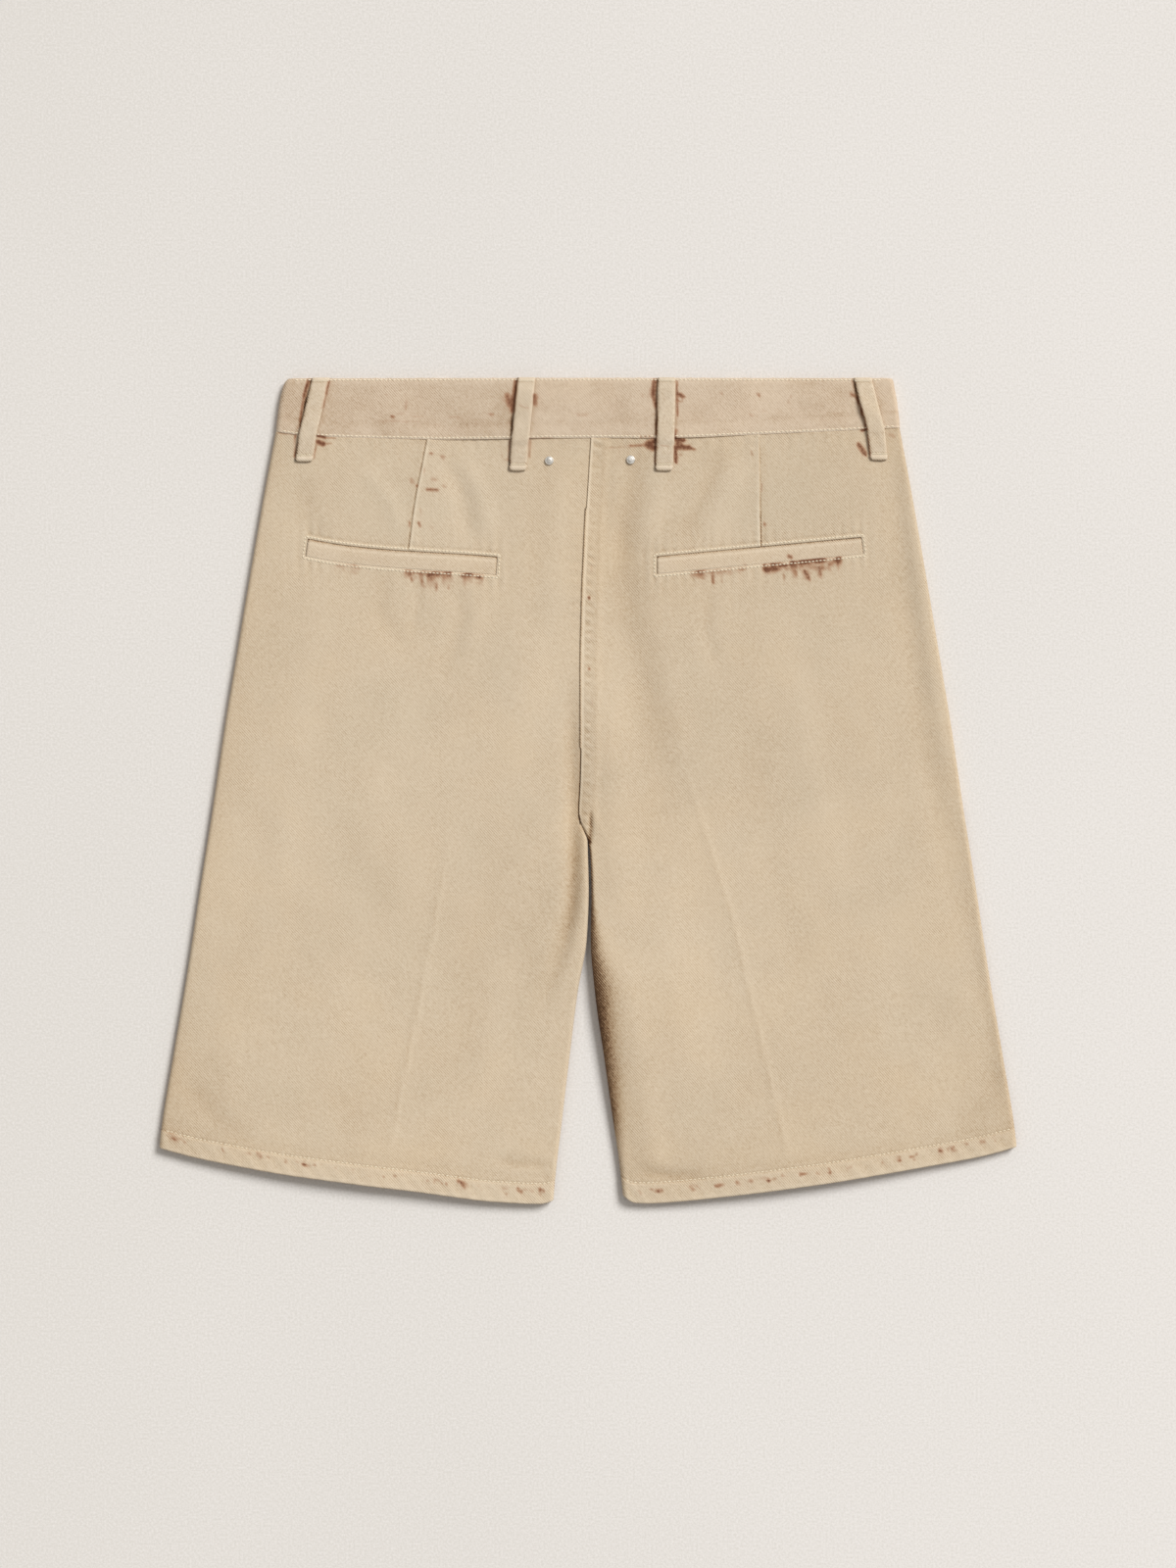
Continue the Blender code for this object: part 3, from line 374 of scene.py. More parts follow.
# ---------------------------------------------------------------- stains

# Rust stains: from x, y to x, y, reach, depth.
STAINS = (
    # beside the left side loop
    (-199.1, 292, -202, 281, 1.5, 1), (-202, 281, -206.4, 258, 0.9, 0.8),
    (-184.7, 291, -186.5, 282, 1.2, 0.9), (-186.5, 282, -189.5, 272, 0.9, 0.6),
    (-192.5, 252.6, -187.5, 251.4, 1.4, 1), (-187, 251.2, -180, 250.8, 0.8, 0.55),
    (-192.2, 248.2, -188.6, 246.8, 2.2, 1), (-187, 247, -183, 247, 1.1, 0.5),
    (-208.2, 253, -209, 238, 1.1, 0.75), (-193.6, 246, -195.6, 237, 0.9, 0.55),
    (-221, 254.6, -208.5, 253.2, 0.8, 0.5), (-199.7, 272.6, -191.3, 269.8, 0.8, 0.35),
    # along the left of the waistband and round the left dart
    (-139.9, 266.2, -138.4, 265.9, 1.3, 0.8), (-128.4, 261.8, -128.2, 261.7, 0.8, 0.75),
    (-143.4, 281.6, -142.8, 281.2, 1.1, 0.45), (-129, 277, -130.2, 272, 1.6, 0.40),
    (-149.2, 267.2, -147.8, 267.2, 1.1, 0.35), (-175.6, 264.2, -174.6, 264.2, 1.2, 0.4),
    (-111.5, 266.6, -110.5, 266.6, 1, 0.35), (-98.6, 273, -98, 271.6, 1.2, 0.3),
    (-112, 239.8, -111.2, 239.6, 1.3, 0.8), (-103.8, 237.8, -102.8, 236.8, 1.7, 0.65),
    (-126, 221, -124.8, 220, 2.2, 0.5), (-122.2, 217.4, -121.6, 216.4, 1, 0.7),
    (-111, 222, -108.5, 221, 2, 0.4), (-114.5, 214.2, -107, 213.6, 1.5, 0.75),
    (-103.2, 217.2, -102.2, 216.6, 1.8, 0.5), (-120.6, 190.4, -119.6, 188.6, 1.3, 0.7),
    (-127.2, 192, -127.2, 188.8, 1.1, 0.6), (-112, 187, -110, 186.6, 1.3, 0.45),
    (-119.4, 200, -119, 196, 1, 0.35), (-116.4, 229, -116.8, 226, 0.9, 0.4),
    # beside the left back loop
    (-51.2, 291, -52.5, 281, 1.7, 1), (-52.5, 281, -54, 270.5, 2, 0.95),
    (-57.4, 281, -56, 274.5, 2.5, 0.80), (-60.6, 279.5, -60.2, 276, 1.1, 0.5),
    (-70, 267.4, -68, 267.2, 1.4, 0.65), (-74.4, 265.4, -73, 265.2, 1.2, 0.3),
    (-37.9, 281, -37.6, 274.6, 1.8, 0.85), (-36.4, 279.6, -33.6, 279.2, 1.2, 0.4),
    (-27.8, 282.2, -27, 281.6, 1.4, 0.3), (-41.6, 250, -42.3, 237.4, 1.1, 0.7),
    (-55.6, 250, -57, 234.2, 0.9, 0.6), (-62, 241.5, -60.8, 236.6, 0.9, 0.35),
    (-60.8, 236.6, -57.2, 234.6, 0.9, 0.4), (-40.4, 250.6, -25, 251, 0.8, 0.4),
    (-49, 274.2, -45.6, 272.2, 0.9, 0.55), (-45.6, 272.2, -42.4, 272.2, 0.9, 0.5),
    # beside the right back loop
    (47.4, 291.4, 46.6, 282, 2, 1), (46.6, 282, 48.2, 273, 1.6, 0.95),
    (45, 286, 43.8, 280.6, 1.6, 0.5), (39, 282.4, 38.4, 280, 1.3, 0.4),
    (47.7, 272, 48.7, 253, 0.8, 0.7), (47.2, 248.6, 42.5, 246.4, 2.8, 1),
    (64, 247.4, 67, 244.6, 2.6, 0.9), (192.6, 246.4, 195.6, 242.6, 2, 0.85),
    (42.5, 246, 47, 243.8, 2.8, 1), (40, 245.8, 30, 245.2, 1.4, 0.65),
    (30, 245.2, 15, 243.8, 1.4, 0.35), (46, 252, 37.5, 251.6, 0.9, 0.65),
    (48.4, 242, 47.6, 232, 0.9, 0.65), (63, 291.4, 63.4, 266, 1.1, 0.75),
    (64, 282.4, 67.8, 280.2, 1.8, 0.85), (65, 276.4, 66.6, 277.4, 1.2, 0.55),
    (62.8, 257, 62.4, 250.6, 1.3, 0.85), (62.8, 249.6, 68.8, 249.2, 1.7, 1),
    (62.4, 244.4, 72, 244.2, 2.2, 1), (72, 243.6, 76, 242.6, 1.1, 0.8),
    (62.2, 243, 62.6, 234, 1.6, 1), (66, 238.6, 63.4, 237, 1.2, 0.6),
    (70.5, 263.6, 80, 264.4, 1.2, 0.2), (52.2, 245.4, 57.4, 244.6, 0.9, 0.5),
    (103, 249.4, 100, 245, 1.2, 0.2),
    # along the right of the waistband, the right dart and the right side loop
    (121, 282.2, 121.8, 280.8, 1.4, 0.7), (115.5, 267.4, 116.6, 267, 1.3, 0.5),
    (144.8, 281, 142.8, 275.8, 1.1, 0.35), (137, 277.4, 136.6, 276, 1, 0.25),
    (94.6, 283.2, 95.2, 282.6, 1.3, 0.5), (116.2, 240.8, 116.9, 239.8, 1.2, 0.75),
    (123.8, 219, 123.8, 213, 0.9, 0.4), (125.4, 190.6, 126.2, 188.6, 1.3, 0.65),
    (189, 292, 190.4, 283, 0.9, 0.9), (190.4, 283, 195, 270.5, 0.9, 1),
    (195, 270.5, 197.8, 259, 0.8, 0.9), (187.6, 282.2, 189.4, 281, 1.6, 0.75),
    (194.8, 256.2, 198.4, 257.2, 1.2, 0.95), (195.8, 241.6, 197.4, 239.6, 2.1, 0.95),
    (198.6, 254, 201, 238, 0.8, 0.85), (205.8, 283.6, 205.2, 279.6, 0.9, 0.35),
    (214.6, 253.6, 218, 252, 2, 0.4),
    # below the pockets and down the middle
    (-118, 150, -117.4, 144.4, 1.3, 0.7), (-108.6, 149.6, -108, 143, 1.1, 0.7),
    (-126, 151.4, -125, 149, 1.4, 0.6), (-100, 148, -99.4, 144, 1, 0.45),
    (89.2, 153.6, 89, 147.6, 1.2, 0.75), (83.4, 153.6, 82.8, 151, 1.3, 0.55),
    (96, 152.4, 95.8, 149, 1, 0.45), (155, 156.4, 157, 150.4, 1.8, 0.9),
    (143.2, 166.8, 144.6, 166, 1.8, 0.75), (164.6, 157.4, 165.2, 152.6, 1.6, 0.85),
    (148, 156, 147.4, 151.4, 1.4, 0.7), (139.4, 154, 139, 149.6, 1.2, 0.6),
    (111.2, 161, 112.6, 160.2, 1.5, 0.4), (172, 158.6, 173, 156, 1.3, 0.6),
    (0.6, 137.4, 1.2, 136.4, 1.2, 0.95), (0.8, 87, 0.8, 86, 1.1, 0.8),
    (2.5, 160, 2.5, 156, 0.9, 0.4), (3, 64, 3, 60, 1, 0.35), (2, 112, 2.4, 108, 0.9, 0.3),
)

# Stains along the lower edge of the pocket welts: leg, from x, to x, depth.
WELT_STAINS = (
    ("left", -134, -94, 0.75), ("left", -122, -100, 1), ("left", -184, -154, 0.45),
    ("left", -94, -72, 0.85), ("right", 70, 98, 0.55), ("right", 90, 116, 0.55),
    ("right", 122, 183, 0.95), ("right", 136, 173, 1),
)

# Stains in the hem: leg, x, distance above the edge, reach across, reach up, depth.
HEM_STAINS = (
    ("left", -296, 9.4, 2.2, 2.6, 0.8), ("left", -246.8, 8.4, 1.2, 1.4, 0.5),
    ("left", -234, 9.8, 1.5, 2, 0.75), ("left", -201, 9, 2, 1.6, 0.75),
    ("left", -167.6, 9, 1, 1.2, 0.45), ("left", -155.4, 7, 1.2, 1.2, 0.55),
    ("left", -146, 7, 1, 1.2, 0.45), ("left", -114.5, 7.6, 1, 1.2, 0.45),
    ("left", -100.7, 7.7, 1.2, 1.4, 0.55), ("left", -89.5, 9.5, 2.8, 2.8, 0.95),
    ("left", -59, 7.7, 1.2, 2.2, 0.75), ("left", -48.7, 8.4, 1.2, 2.4, 0.75),
    ("left", -40, 8.4, 1, 1.4, 0.5), ("left", -34, 8.6, 1.2, 2.6, 0.85),
    ("right", 36.8, 7, 1.2, 1.6, 0.5), ("right", 50.8, 8, 2.2, 1.8, 0.75),
    ("right", 75, 7, 1.8, 1.2, 0.55), ("right", 93, 8, 2.4, 1.6, 0.75),
    ("right", 107.5, 7.4, 1.4, 1.6, 0.6), ("right", 116, 8.2, 1.4, 1.8, 0.6),
    ("right", 128.5, 7.4, 1.6, 1.6, 0.75), ("right", 139, 8.4, 1.2, 1.4, 0.5),
    ("right", 154.4, 8.3, 1.5, 1.4, 0.6), ("right", 163.8, 7.6, 1.2, 1.4, 0.55),
    ("right", 171.9, 7, 1.6, 1.4, 0.6), ("right", 185, 7, 1.2, 1.4, 0.5),
    ("right", 210, 7, 1.2, 1.4, 0.5), ("right", 221, 8.2, 1.6, 2, 0.75),
    ("right", 232, 7, 1.4, 1.6, 0.55), ("right", 251, 8, 1.6, 2.6, 0.8),
    ("right", 260, 8.8, 1.5, 2.4, 0.7), ("right", 269, 10.6, 1.3, 1.6, 0.5),
    ("right", 281, 9, 1.5, 2, 0.65), ("right", 290, 11, 1.2, 1.4, 0.5),
)
HEM_SPREAD = 1.35       # the hem's stains reach out by this factor

# ---------------------------------------------------------------- colours, sRGB

SAND = (211, 193, 167)
BAND_SAND = (209, 189, 165)
WELT_SAND = (211, 192, 166)
LOOP_SAND = (212, 195, 171)
RUST_PALE = (188, 149, 116)
RUST_MIDDLE = (160, 108, 74)
RUST = (110, 66, 44)
THREAD = (252, 240, 214)
FLOOR = (229, 225, 220)
HORN = (112, 82, 52)
NICKEL = (236, 233, 227)
WARM_TINT = (255, 252, 247)
COOL_TINT = (252, 254, 255)
EVEN_WARMTH = 0.48      # the cloth takes neither tint here

# Twill's colour against its tone: place on the ramp, then the shift from sand. The browns below the
# middle also give the painted shade its colour.
TWILL_STOPS = (
    (0.0, -130, -140, -138), (0.12, -60, -74, -80), (0.26, -26, -32, -37), (0.5, 0, 0, 0),
    (0.75, 15, 16, 17), (1.0, 28, 30, 31),
)
TWILL_PITCH = 1.35      # between two ribs
TWILL_LEAN = -42.0      # degrees from upright, towards the upper left
YARN_PITCH = 0.7
YARN_LEAN = TWILL_LEAN + 68.0

KEY_DIRECTION = (0.62, 0.60, 0.80)      # from the shorts to the lamp
KEY_WIDTH = 26.0                        # degrees across the lamp, seen from the shorts
KEY_POWER = 2.85
AMBIENT = 0.40
CAMERA_DISTANCE = 2.6
VIEW_HEIGHT = 1.12                      # what the picture shows, metres
VIEW_CENTRE_Y = 0.0045
FILM_WIDTH = 36.0


# ---------------------------------------------------------------- curves

def smooth_step(value):
    """0 below 0, 1 above 1, with an even slope between."""
    value = np.clip(value, 0.0, 1.0)
    return value * value * (3.0 - 2.0 * value)


def monotone(xs, ys, x):
    """Smooth curve through a table's points that never overshoots them."""
    xs = np.asarray(xs, dtype=float)
    ys = np.asarray(ys, dtype=float)
    x = np.asarray(x, dtype=float)
    step = np.diff(xs)
    slope = np.diff(ys) / step
    before = 2.0 * step[1:] + step[:-1]
    after = step[1:] + 2.0 * step[:-1]
    same = slope[:-1] * slope[1:] > 0.0
    first = np.where(same, slope[:-1], 1.0)
    second = np.where(same, slope[1:], 1.0)
    inside = np.where(same, (before + after) / (before / first + after / second), 0.0)
    tangent = np.concatenate([slope[:1], inside, slope[-1:]])
    i = np.clip(np.searchsorted(xs, x, side="right") - 1, 0, len(xs) - 2)
    t = np.clip((x - xs[i]) / step[i], 0.0, 1.0)
    t2 = t * t
    t3 = t2 * t
    start = (2.0 * t3 - 3.0 * t2 + 1.0) * ys[i] + (t3 - 2.0 * t2 + t) * step[i] * tangent[i]
    end = (3.0 * t2 - 2.0 * t3) * ys[i + 1] + (t3 - t2) * step[i] * tangent[i + 1]
    return start + end


def column(table, index):
    return [row[index] for row in table]


def half_width(y):
    ys = [-value for value in column(OUTLINE, 0)]
    return monotone(ys, column(OUTLINE, 1), -np.asarray(y))


def section(leg, v):
    """The section at v: its two ends and its heights, by name."""
    first = 0 if leg == "left" else len(SECTION_COLUMNS)
    s = {}
    for table, names, start in ((SECTIONS, SECTION_COLUMNS, first), (HEIGHTS, HEIGHT_COLUMNS, 0)):
        for i, name in enumerate(names):
            s[name] = monotone(range(len(table)), column(table, start + i), v)
    s["inner"] = s["inner_" + leg]
    s["reach"] = s["reach_" + leg]
    s["side_x"] = SIDE[leg] * half_width(s["side_y"])
    s["length"] = np.hypot(s["inner_x"] - s["side_x"], s["inner_y"] - s["side_y"])
    return s


def bow(leg, u, v):
    """How far the section at v hangs below its straight line."""
    waist, hem = (monotone(column(BOWS, 0), column(BOWS, i + LEGS.index(leg)), u) for i in (1, 3))
    at_waist = smooth_step(1.0 - np.asarray(v) / BOW_FADE)
    at_hem = smooth_step(1.0 - (HEM - np.asarray(v)) / HEM_BOW_FADE)
    return waist * at_waist + hem * at_hem + welt_sag(leg, u, v)


def welt_sag(leg, u, v):
    """Sag of the cloth round a pocket welt, most at a third of its length."""
    start, end, sag = WELTS[leg]
    t = np.clip((u - start) / (end - start), 0.0, 1.0)
    off = np.maximum(WELT_TOP - np.asarray(v), v - WELT_FOOT)
    return sag * 6.75 * t * (1.0 - t) ** 2 * smooth_step(1.0 - np.maximum(off, 0.0) / WELT_SAG_FADE)


def plan_point(leg, u, v):
    """x and y of points of a leg."""
    s = section(leg, v)
    x = s["side_x"] + (s["inner_x"] - s["side_x"]) * u
    y = s["side_y"] + (s["inner_y"] - s["side_y"]) * u - bow(leg, u, v)
    return x, y


def line_points(leg, u, v):
    """x and y of the points u of one section."""
    return plan_point(leg, u, np.full(np.shape(u), float(v)))


def line_y(leg, u, v):
    return line_points(leg, u, v)[1]


def fold_sum(x, y):
    """Sum of the largest folds at points of the back."""
    total = np.zeros(np.shape(x))
    for width, height, rising, dying, *line in FOLDS:
        distance, along = to_line(line, x, y)
        share = smooth_step(along / rising) * smooth_step((line_length(line) - along) / dying)
        total += height * share * bump_at(distance, width)
    return total


def front_lift(x, y):
    """How far the front lies off the surface, over its loops and button."""
    across = smooth_step((LIFT_END_X - np.abs(x)) / (LIFT_END_X - LIFT_FULL_X))
    down = smooth_step((y - LIFT_END_Y) / (LIFT_FULL_Y - LIFT_END_Y))
    return FRONT_LIFT * across * down


def band_height(x):
    """Upper surface of the waistband."""
    return monotone(column(BAND_HEIGHTS, 0), column(BAND_HEIGHTS, 1), np.abs(x))


def back_height(leg, u, v):
    """Upper surface of a back panel, without the rounding at its edges."""
    s = section(leg, v)
    x, y = plan_point(leg, u, v)
    side = 1.0 - smooth_step(u / 0.45)
    inner = 1.0 - smooth_step((1.0 - u) / 0.45)
    height = s["middle"] + (s["rim"] - s["middle"]) * side + (s["inner_left"] - s["middle"]) * inner
    puff = 1.0 - smooth_step(((1.0 - u) * s["length"] - PUFF_START) / PUFF_WIDTH)
    height += (s["inner"] - s["inner_left"]) * puff
    fade = smooth_step(u * s["length"] / FOLD_EDGE_FADE)
    inner_fade = smooth_step((1.0 - u) * s["length"] / FOLD_EDGE_FADE)
    fade *= 1.0 - s["roll"] * (1.0 - inner_fade)
    height += fold_sum(x, y) * fade
    if leg == "right":
        from_seam = (1.0 - u) * s["length"]
        rise = 1.0 - smooth_step((from_seam - ALLOWANCE_WIDTH) / ALLOWANCE_STEP)
        height += ALLOWANCE_RISE * rise * (1.0 - s["roll"])
    return height


def waist_seam_y(x):
    """y of the middle of the seam between the waistband and the panels."""
    ys = []
    for leg in LEGS:
        s = section(leg, 0.0)
        u = np.clip((x - s["side_x"]) / (s["inner_x"] - s["side_x"]), 0.0, 1.0)
        ys.append(line_y(leg, u, 0.0) + GAP / 2.0)
    return np.where(np.asarray(x) < section("left", 0.0)["inner_x"], ys[0], ys[1])


def v_where(leg, name, y):
    """v of the section whose side_y or inner_y is y."""
    return float(np.interp(-y, -section(leg, V_TABLE)[name], V_TABLE))


def edge_radius(height):
    """How far in the rounding of an edge of a height reaches."""
    return (1.0 - EDGE_FLAT) * height / 2.0


def edge_share(angle):
    """Share of its height that a rounded edge has at an angle of its turn."""
    return EDGE_FLAT + (1.0 - EDGE_FLAT) * math.sin(angle)


# ---------------------------------------------------------------- fields

def soft_noise(x, y, size, seed):
    """Smooth random field from -1 to 1 with blotches of about size."""
    cells = 61
    table = np.random.RandomState(seed).uniform(-1.0, 1.0, (cells, cells))
    gx = np.asarray(x) / size + 17.3
    gy = np.asarray(y) / size + 29.7
    ix = np.floor(gx).astype(int)
    iy = np.floor(gy).astype(int)
    fx = smooth_step(gx - ix)
    fy = smooth_step(gy - iy)
    low, high = (table[ix % cells, (iy + up) % cells] * (1 - fx)
                 + table[(ix + 1) % cells, (iy + up) % cells] * fx for up in (0, 1))
    return low * (1 - fy) + high * fy


def streaks(x, size, seed):
    """Smooth random field that changes along x alone."""
    return soft_noise(x, 0.0 * x, size, seed)


def to_line(points, x, y):
    """Distance to a line of points, + on its right going along, and the length
    along it to the nearest place."""
    best = np.full(np.shape(x), 1e9)
    signed = np.zeros(np.shape(x))
    along = np.zeros(np.shape(x))
    travelled = 0.0
    for (x0, y0), (x1, y1) in zip(points, points[1:]):
        length = math.hypot(x1 - x0, y1 - y0)
        t = ((x - x0) * (x1 - x0) + (y - y0) * (y1 - y0)) / length ** 2
        t = np.clip(t, 0.0, 1.0)
        dx = x - x0 - t * (x1 - x0)
        dy = y - y0 - t * (y1 - y0)
        distance = np.hypot(dx, dy)
        side = np.sign((y1 - y0) * dx - (x1 - x0) * dy)
        nearer = distance < best
        best = np.where(nearer, distance, best)
        signed = np.where(nearer, side * distance, signed)
        along = np.where(nearer, travelled + t * length, along)
        travelled += length
    return signed, along


def line_length(points):
    return sum(math.dist(a, b) for a, b in zip(points, points[1:]))


def bump_at(distance, width):
    return np.exp(-(distance / width) ** 2)


def ripple(along, pitch, seed):
    """Uneven waves along a seam, from -1 to 1."""
    drift = 2.2 * streaks(along, 5.0 * pitch, seed)
    size = 0.65 + 0.35 * soft_noise(along, 0.0 * along + 9.0, 3.0 * pitch, seed + 1)
    return size * np.sin(2.0 * math.pi * along / pitch + drift)


def drape(x, y):
    """Height and tone of the smaller folds at points of the back; the tone is painted shade in a
    trough and painted light on a ridge.
    """
    height = np.zeros(np.shape(x))
    tone = np.zeros(np.shape(x))
    for width, rise, shade, *line in DRAPE:
        distance, along = to_line(line, x, y)
        total = line_length(line)
        ends = smooth_step(0.15 + np.minimum(along, total - along) / (0.3 * total))
        share = ends * bump_at(distance, width)
        height += rise * share
        tone += shade * share
    return height, tone


def zone_fields(x, y):
    """Tone and warmth of the broad zones at points of the back; the tone is painted light and shade.
    """
    tone = np.zeros(np.shape(x))
    warm = np.zeros(np.shape(x))
    for cx, cy, across, up, shade, warmth in ZONES:
        share = bump_at(np.hypot((x - cx) / across, (y - cy) / up), 1.0)
        tone += shade * share
        warm += warmth * share
    return tone, warm


def stain_field(x, y):
    """Depth of the rust stains at points of the back."""
    total = np.zeros(np.shape(x))
    for x0, y0, x1, y1, reach, depth in STAINS:
        distance, _ = to_line(((x0, y0), (x1, y1)), x, y)
        total = np.maximum(total, depth * bump_at(distance, reach))
    return total


# ---------------------------------------------------------------- grids and walls

def graded(start, end, fine_places, finest=()):
    """Places from start to end, close together near the fine places."""
    places = [start]
    while places[-1] < end:
        here = places[-1]
        nearest = min(abs(here - place) for place in fine_places)
        share = float(smooth_step(nearest / FINE_REACH))
        step = FINE + (COARSE - FINE) * share
        if any(abs(here - place) < FINEST_REACH for place in finest):
            step = FINEST
        places.append(here + step)
    places = np.array(places)
    return start + (places - start) * (end - start) / (places[-1] - start)


def graded_through(stops, fine_places):
    """graded() from stop to stop, so that each stop is a place."""
    pieces = [graded(a, b, fine_places)[:-1] for a, b in zip(stops, stops[1:])]
    return np.concatenate(pieces + [[stops[-1]]])


def grid_normals(points, outward):
    down = np.gradient(points, axis=0)
    across = np.gradient(points, axis=1)
    normal = unit(np.cross(down, across))
    return normal if outward else -normal


def rim_of(rows, cols):
    """Grid places round a block, from its first corner back to it."""
    (j0, j1), (i0, i1) = rows, cols
    places = [(j0, i) for i in range(i0, i1)]
    places += [(j, i1) for j in range(j0, j1)]
    places += [(j1, i) for i in range(i1, i0, -1)]
    places += [(j, i0) for j in range(j1, j0, -1)]
    return places


def unit(vectors):
    length = np.linalg.norm(vectors, axis=2, keepdims=True)
    return vectors / np.maximum(length, 1e-9)


def wall_mesh(name, outer, wall, outward, bulges, fields, hole=None):
    """Closed wall under a grid of points, with rounded rims.

    bulges says how far the rim stands out at the first row, last row, first and
    last column.  hole is ((first row, last row), (first column, last column)).
    """
    rows, cols = outer.shape[:2]
    normal = grid_normals(outer, outward)
    inner = outer - normal * np.broadcast_to(wall, (rows, cols))[..., None]
    count = rows * cols
    index = np.arange(count).reshape(rows, cols)
    quads = np.stack([index[:-1, :-1], index[1:, :-1], index[1:, 1:], index[:-1, 1:]], axis=-1)
    keep = np.ones((rows - 1, cols - 1), dtype=bool)
    if hole:
        (j0, j1), (i0, i1) = hole
        keep[j0:j1, i0:i1] = False
    quads = quads[keep]
    if not outward:
        quads = quads[:, ::-1]
    faces = [quads, quads[:, ::-1] + count]
    sources = [np.arange(count), np.arange(count)]
    # Tone of the hidden side, and of the rims below: painted shade.
    shades = [np.zeros(count), np.full(count, INNER_PAINTED_SHADE)]
    total = 2 * count

    away_row = np.zeros_like(outer)
    away_row[0] = outer[0] - outer[1]
    away_row[-1] = outer[-1] - outer[-2]
    away_col = np.zeros_like(outer)
    away_col[:, 0] = outer[:, 0] - outer[:, 1]
    away_col[:, -1] = outer[:, -1] - outer[:, -2]
    away_row = unit(away_row)
    away_row[0] *= bulges[0]
    away_row[-1] *= bulges[1]
    away_col = unit(away_col)
    away_col[:, 0] *= bulges[2]
    away_col[:, -1] *= bulges[3]
    away = away_row + away_col
    seam = np.linalg.norm(away, axis=2, keepdims=True) < SEAM_BULGE
    outer = outer + away * seam
    points = [outer.reshape(-1, 3), inner.reshape(-1, 3)]

    loops = [(rim_of((0, rows - 1), (0, cols - 1)), outward)]
    if hole:
        loops.append((rim_of(*hole), not outward))
    for places, turn in loops:
        ids = index[tuple(np.array(places).T)]
        top, foot, out = (field.reshape(-1, 3)[ids] for field in (outer, inner, away))
        rings = [ids]
        for angle, shade in RIM_SHADE_LINES:
            a = math.radians(angle)
            middle = (top + foot) / 2.0 + (top - foot) / 2.0 * math.cos(a) + out * math.sin(a)
            rings.append(np.arange(len(ids)) + total)
            points.append(middle)
            shades.append(np.full(len(ids), shade))
            sources.append(ids)
            total += len(ids)
        rings.append(ids + count)
        for upper, lower in zip(rings, rings[1:]):
            strip = np.stack([upper, np.roll(upper, -1), np.roll(lower, -1), lower], axis=-1)
            faces.append(strip if turn else strip[:, ::-1])

    points = np.concatenate(points)
    sources = np.concatenate(sources)
    faces = np.concatenate(faces)
    used = np.unique(faces)
    renumber = np.full(len(points), -1)
    renumber[used] = np.arange(len(used))
    faces = renumber[faces]
    mesh = bpy.data.meshes.new(name)
    mesh.from_pydata((points[used] * MM).tolist(), [], faces.tolist())
    shades = np.concatenate(shades)
    for title, values in {"tone": 0.0, "rust": 0.0, "ribs": 1.0, "warm": 0.0, **fields}.items():
        layer = mesh.attributes.new(title, "FLOAT", "POINT")
        flat = np.broadcast_to(values, (rows, cols)).reshape(-1)[sources[used]]
        if title == "tone":
            flat = flat + shades[used]
        layer.data.foreach_set("value", flat.astype(np.float32))
    mesh.shade_smooth()
    mesh.update()
    return mesh


surfaces = {}       # for finding the height of a piece of cloth, by its name


def add_piece(name, mesh, material, replaced=()):
    piece = bpy.data.objects.new(name, mesh)
    bpy.context.scene.collection.objects.link(piece)
    mesh.materials.append(material)
    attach(piece, "root")
    if replaced:
        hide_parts(*replaced)
    return piece


def add_cloth(node, outer, relief, wall, outward, material, bulges, fields, hole=None):
    """A piece of cloth in place of a solid: its surface with the relief laid on."""
    name = "cloth_" + node
    outer = outer + grid_normals(outer, outward) * relief[..., None]
    mesh = wall_mesh(name, outer, wall, outward, bulges, fields, hole)
    piece = add_piece(name, mesh, material, [node])
    polygons = [tuple(p.vertices) for p in mesh.polygons]
    surfaces[name] = BVHTree.FromPolygons([v.co.copy() for v in mesh.vertices], polygons)


def height_at(names, x, y, above=True):
    """Height of the named surfaces at x, y, from above or from below, or None."""
    far = 100.0 * MM
    start = Vector((x * MM, y * MM, far if above else -far))
    hits = [surfaces[name].ray_cast(start, Vector(DOWN if above else UP))[0] for name in names]
    heights = [place.z / MM for place in hits if place is not None]
    if not heights:
        return None
    return max(heights) if above else min(heights)


# ---------------------------------------------------------------- the back panels

def back_columns(leg, s):
    """u of the grid's columns for each row, and their shares of the edges' height."""
    radius = edge_radius(s["rim"])
    length = s["length"]
    welt_start, welt_end, _ = WELTS[leg]
    typical = float(np.median(length))
    welt = (welt_end - welt_start) * typical
    dart = (DART_U[leg] - welt_start) * typical
    turn = np.linspace(0.0, math.pi / 2.0, ROLL_COLUMNS)
    columns = []
    shares = []

    def add(us, share=1.0):
        columns.append(us)
        shares.append(np.broadcast_to(share, us.shape))

    add(0.0 * length, 0.0)
    for angle in turn:
        add(radius * (1.0 - math.cos(angle)) / length, edge_share(angle))
    start = radius / length
    end = 1.0 - INNER_STRIP / length
    spans = (
        (start, welt_start, graded(0.0, welt_start * typical - 3.0, [-9.0, welt_start * typical])),
        (welt_start, welt_end, graded(0.0, welt, [0.0, welt, dart], [dart])),
        (welt_end, end, graded(0.0, (1.0 - welt_end) * typical - INNER_STRIP, [0.0])),
    )
    for low, high, places in spans:
        for place in places[1:]:
            add(low + (high - low) * place / places[-1] + 0.0 * length)
    rolled = s["roll"]
    reach = s["reach"]
    for share in np.linspace(1.0, 0.0, INNER_COLUMNS)[1:-1]:
        add(1.0 - (reach + (INNER_STRIP - reach) * share) / length)
    for k in reversed(range(ROLL_COLUMNS)):
        curved = reach * (1.0 - math.cos(turn[k]))
        level = reach * k / (ROLL_COLUMNS - 1)
        share = 1.0 - rolled * (1.0 - edge_share(turn[k]))
        add(1.0 - (rolled * curved + (1.0 - rolled) * level) / length, share)
    add(1.0 + 0.0 * length, 1.0 - rolled)
    return np.stack(columns, axis=1), np.stack(shares, axis=1)


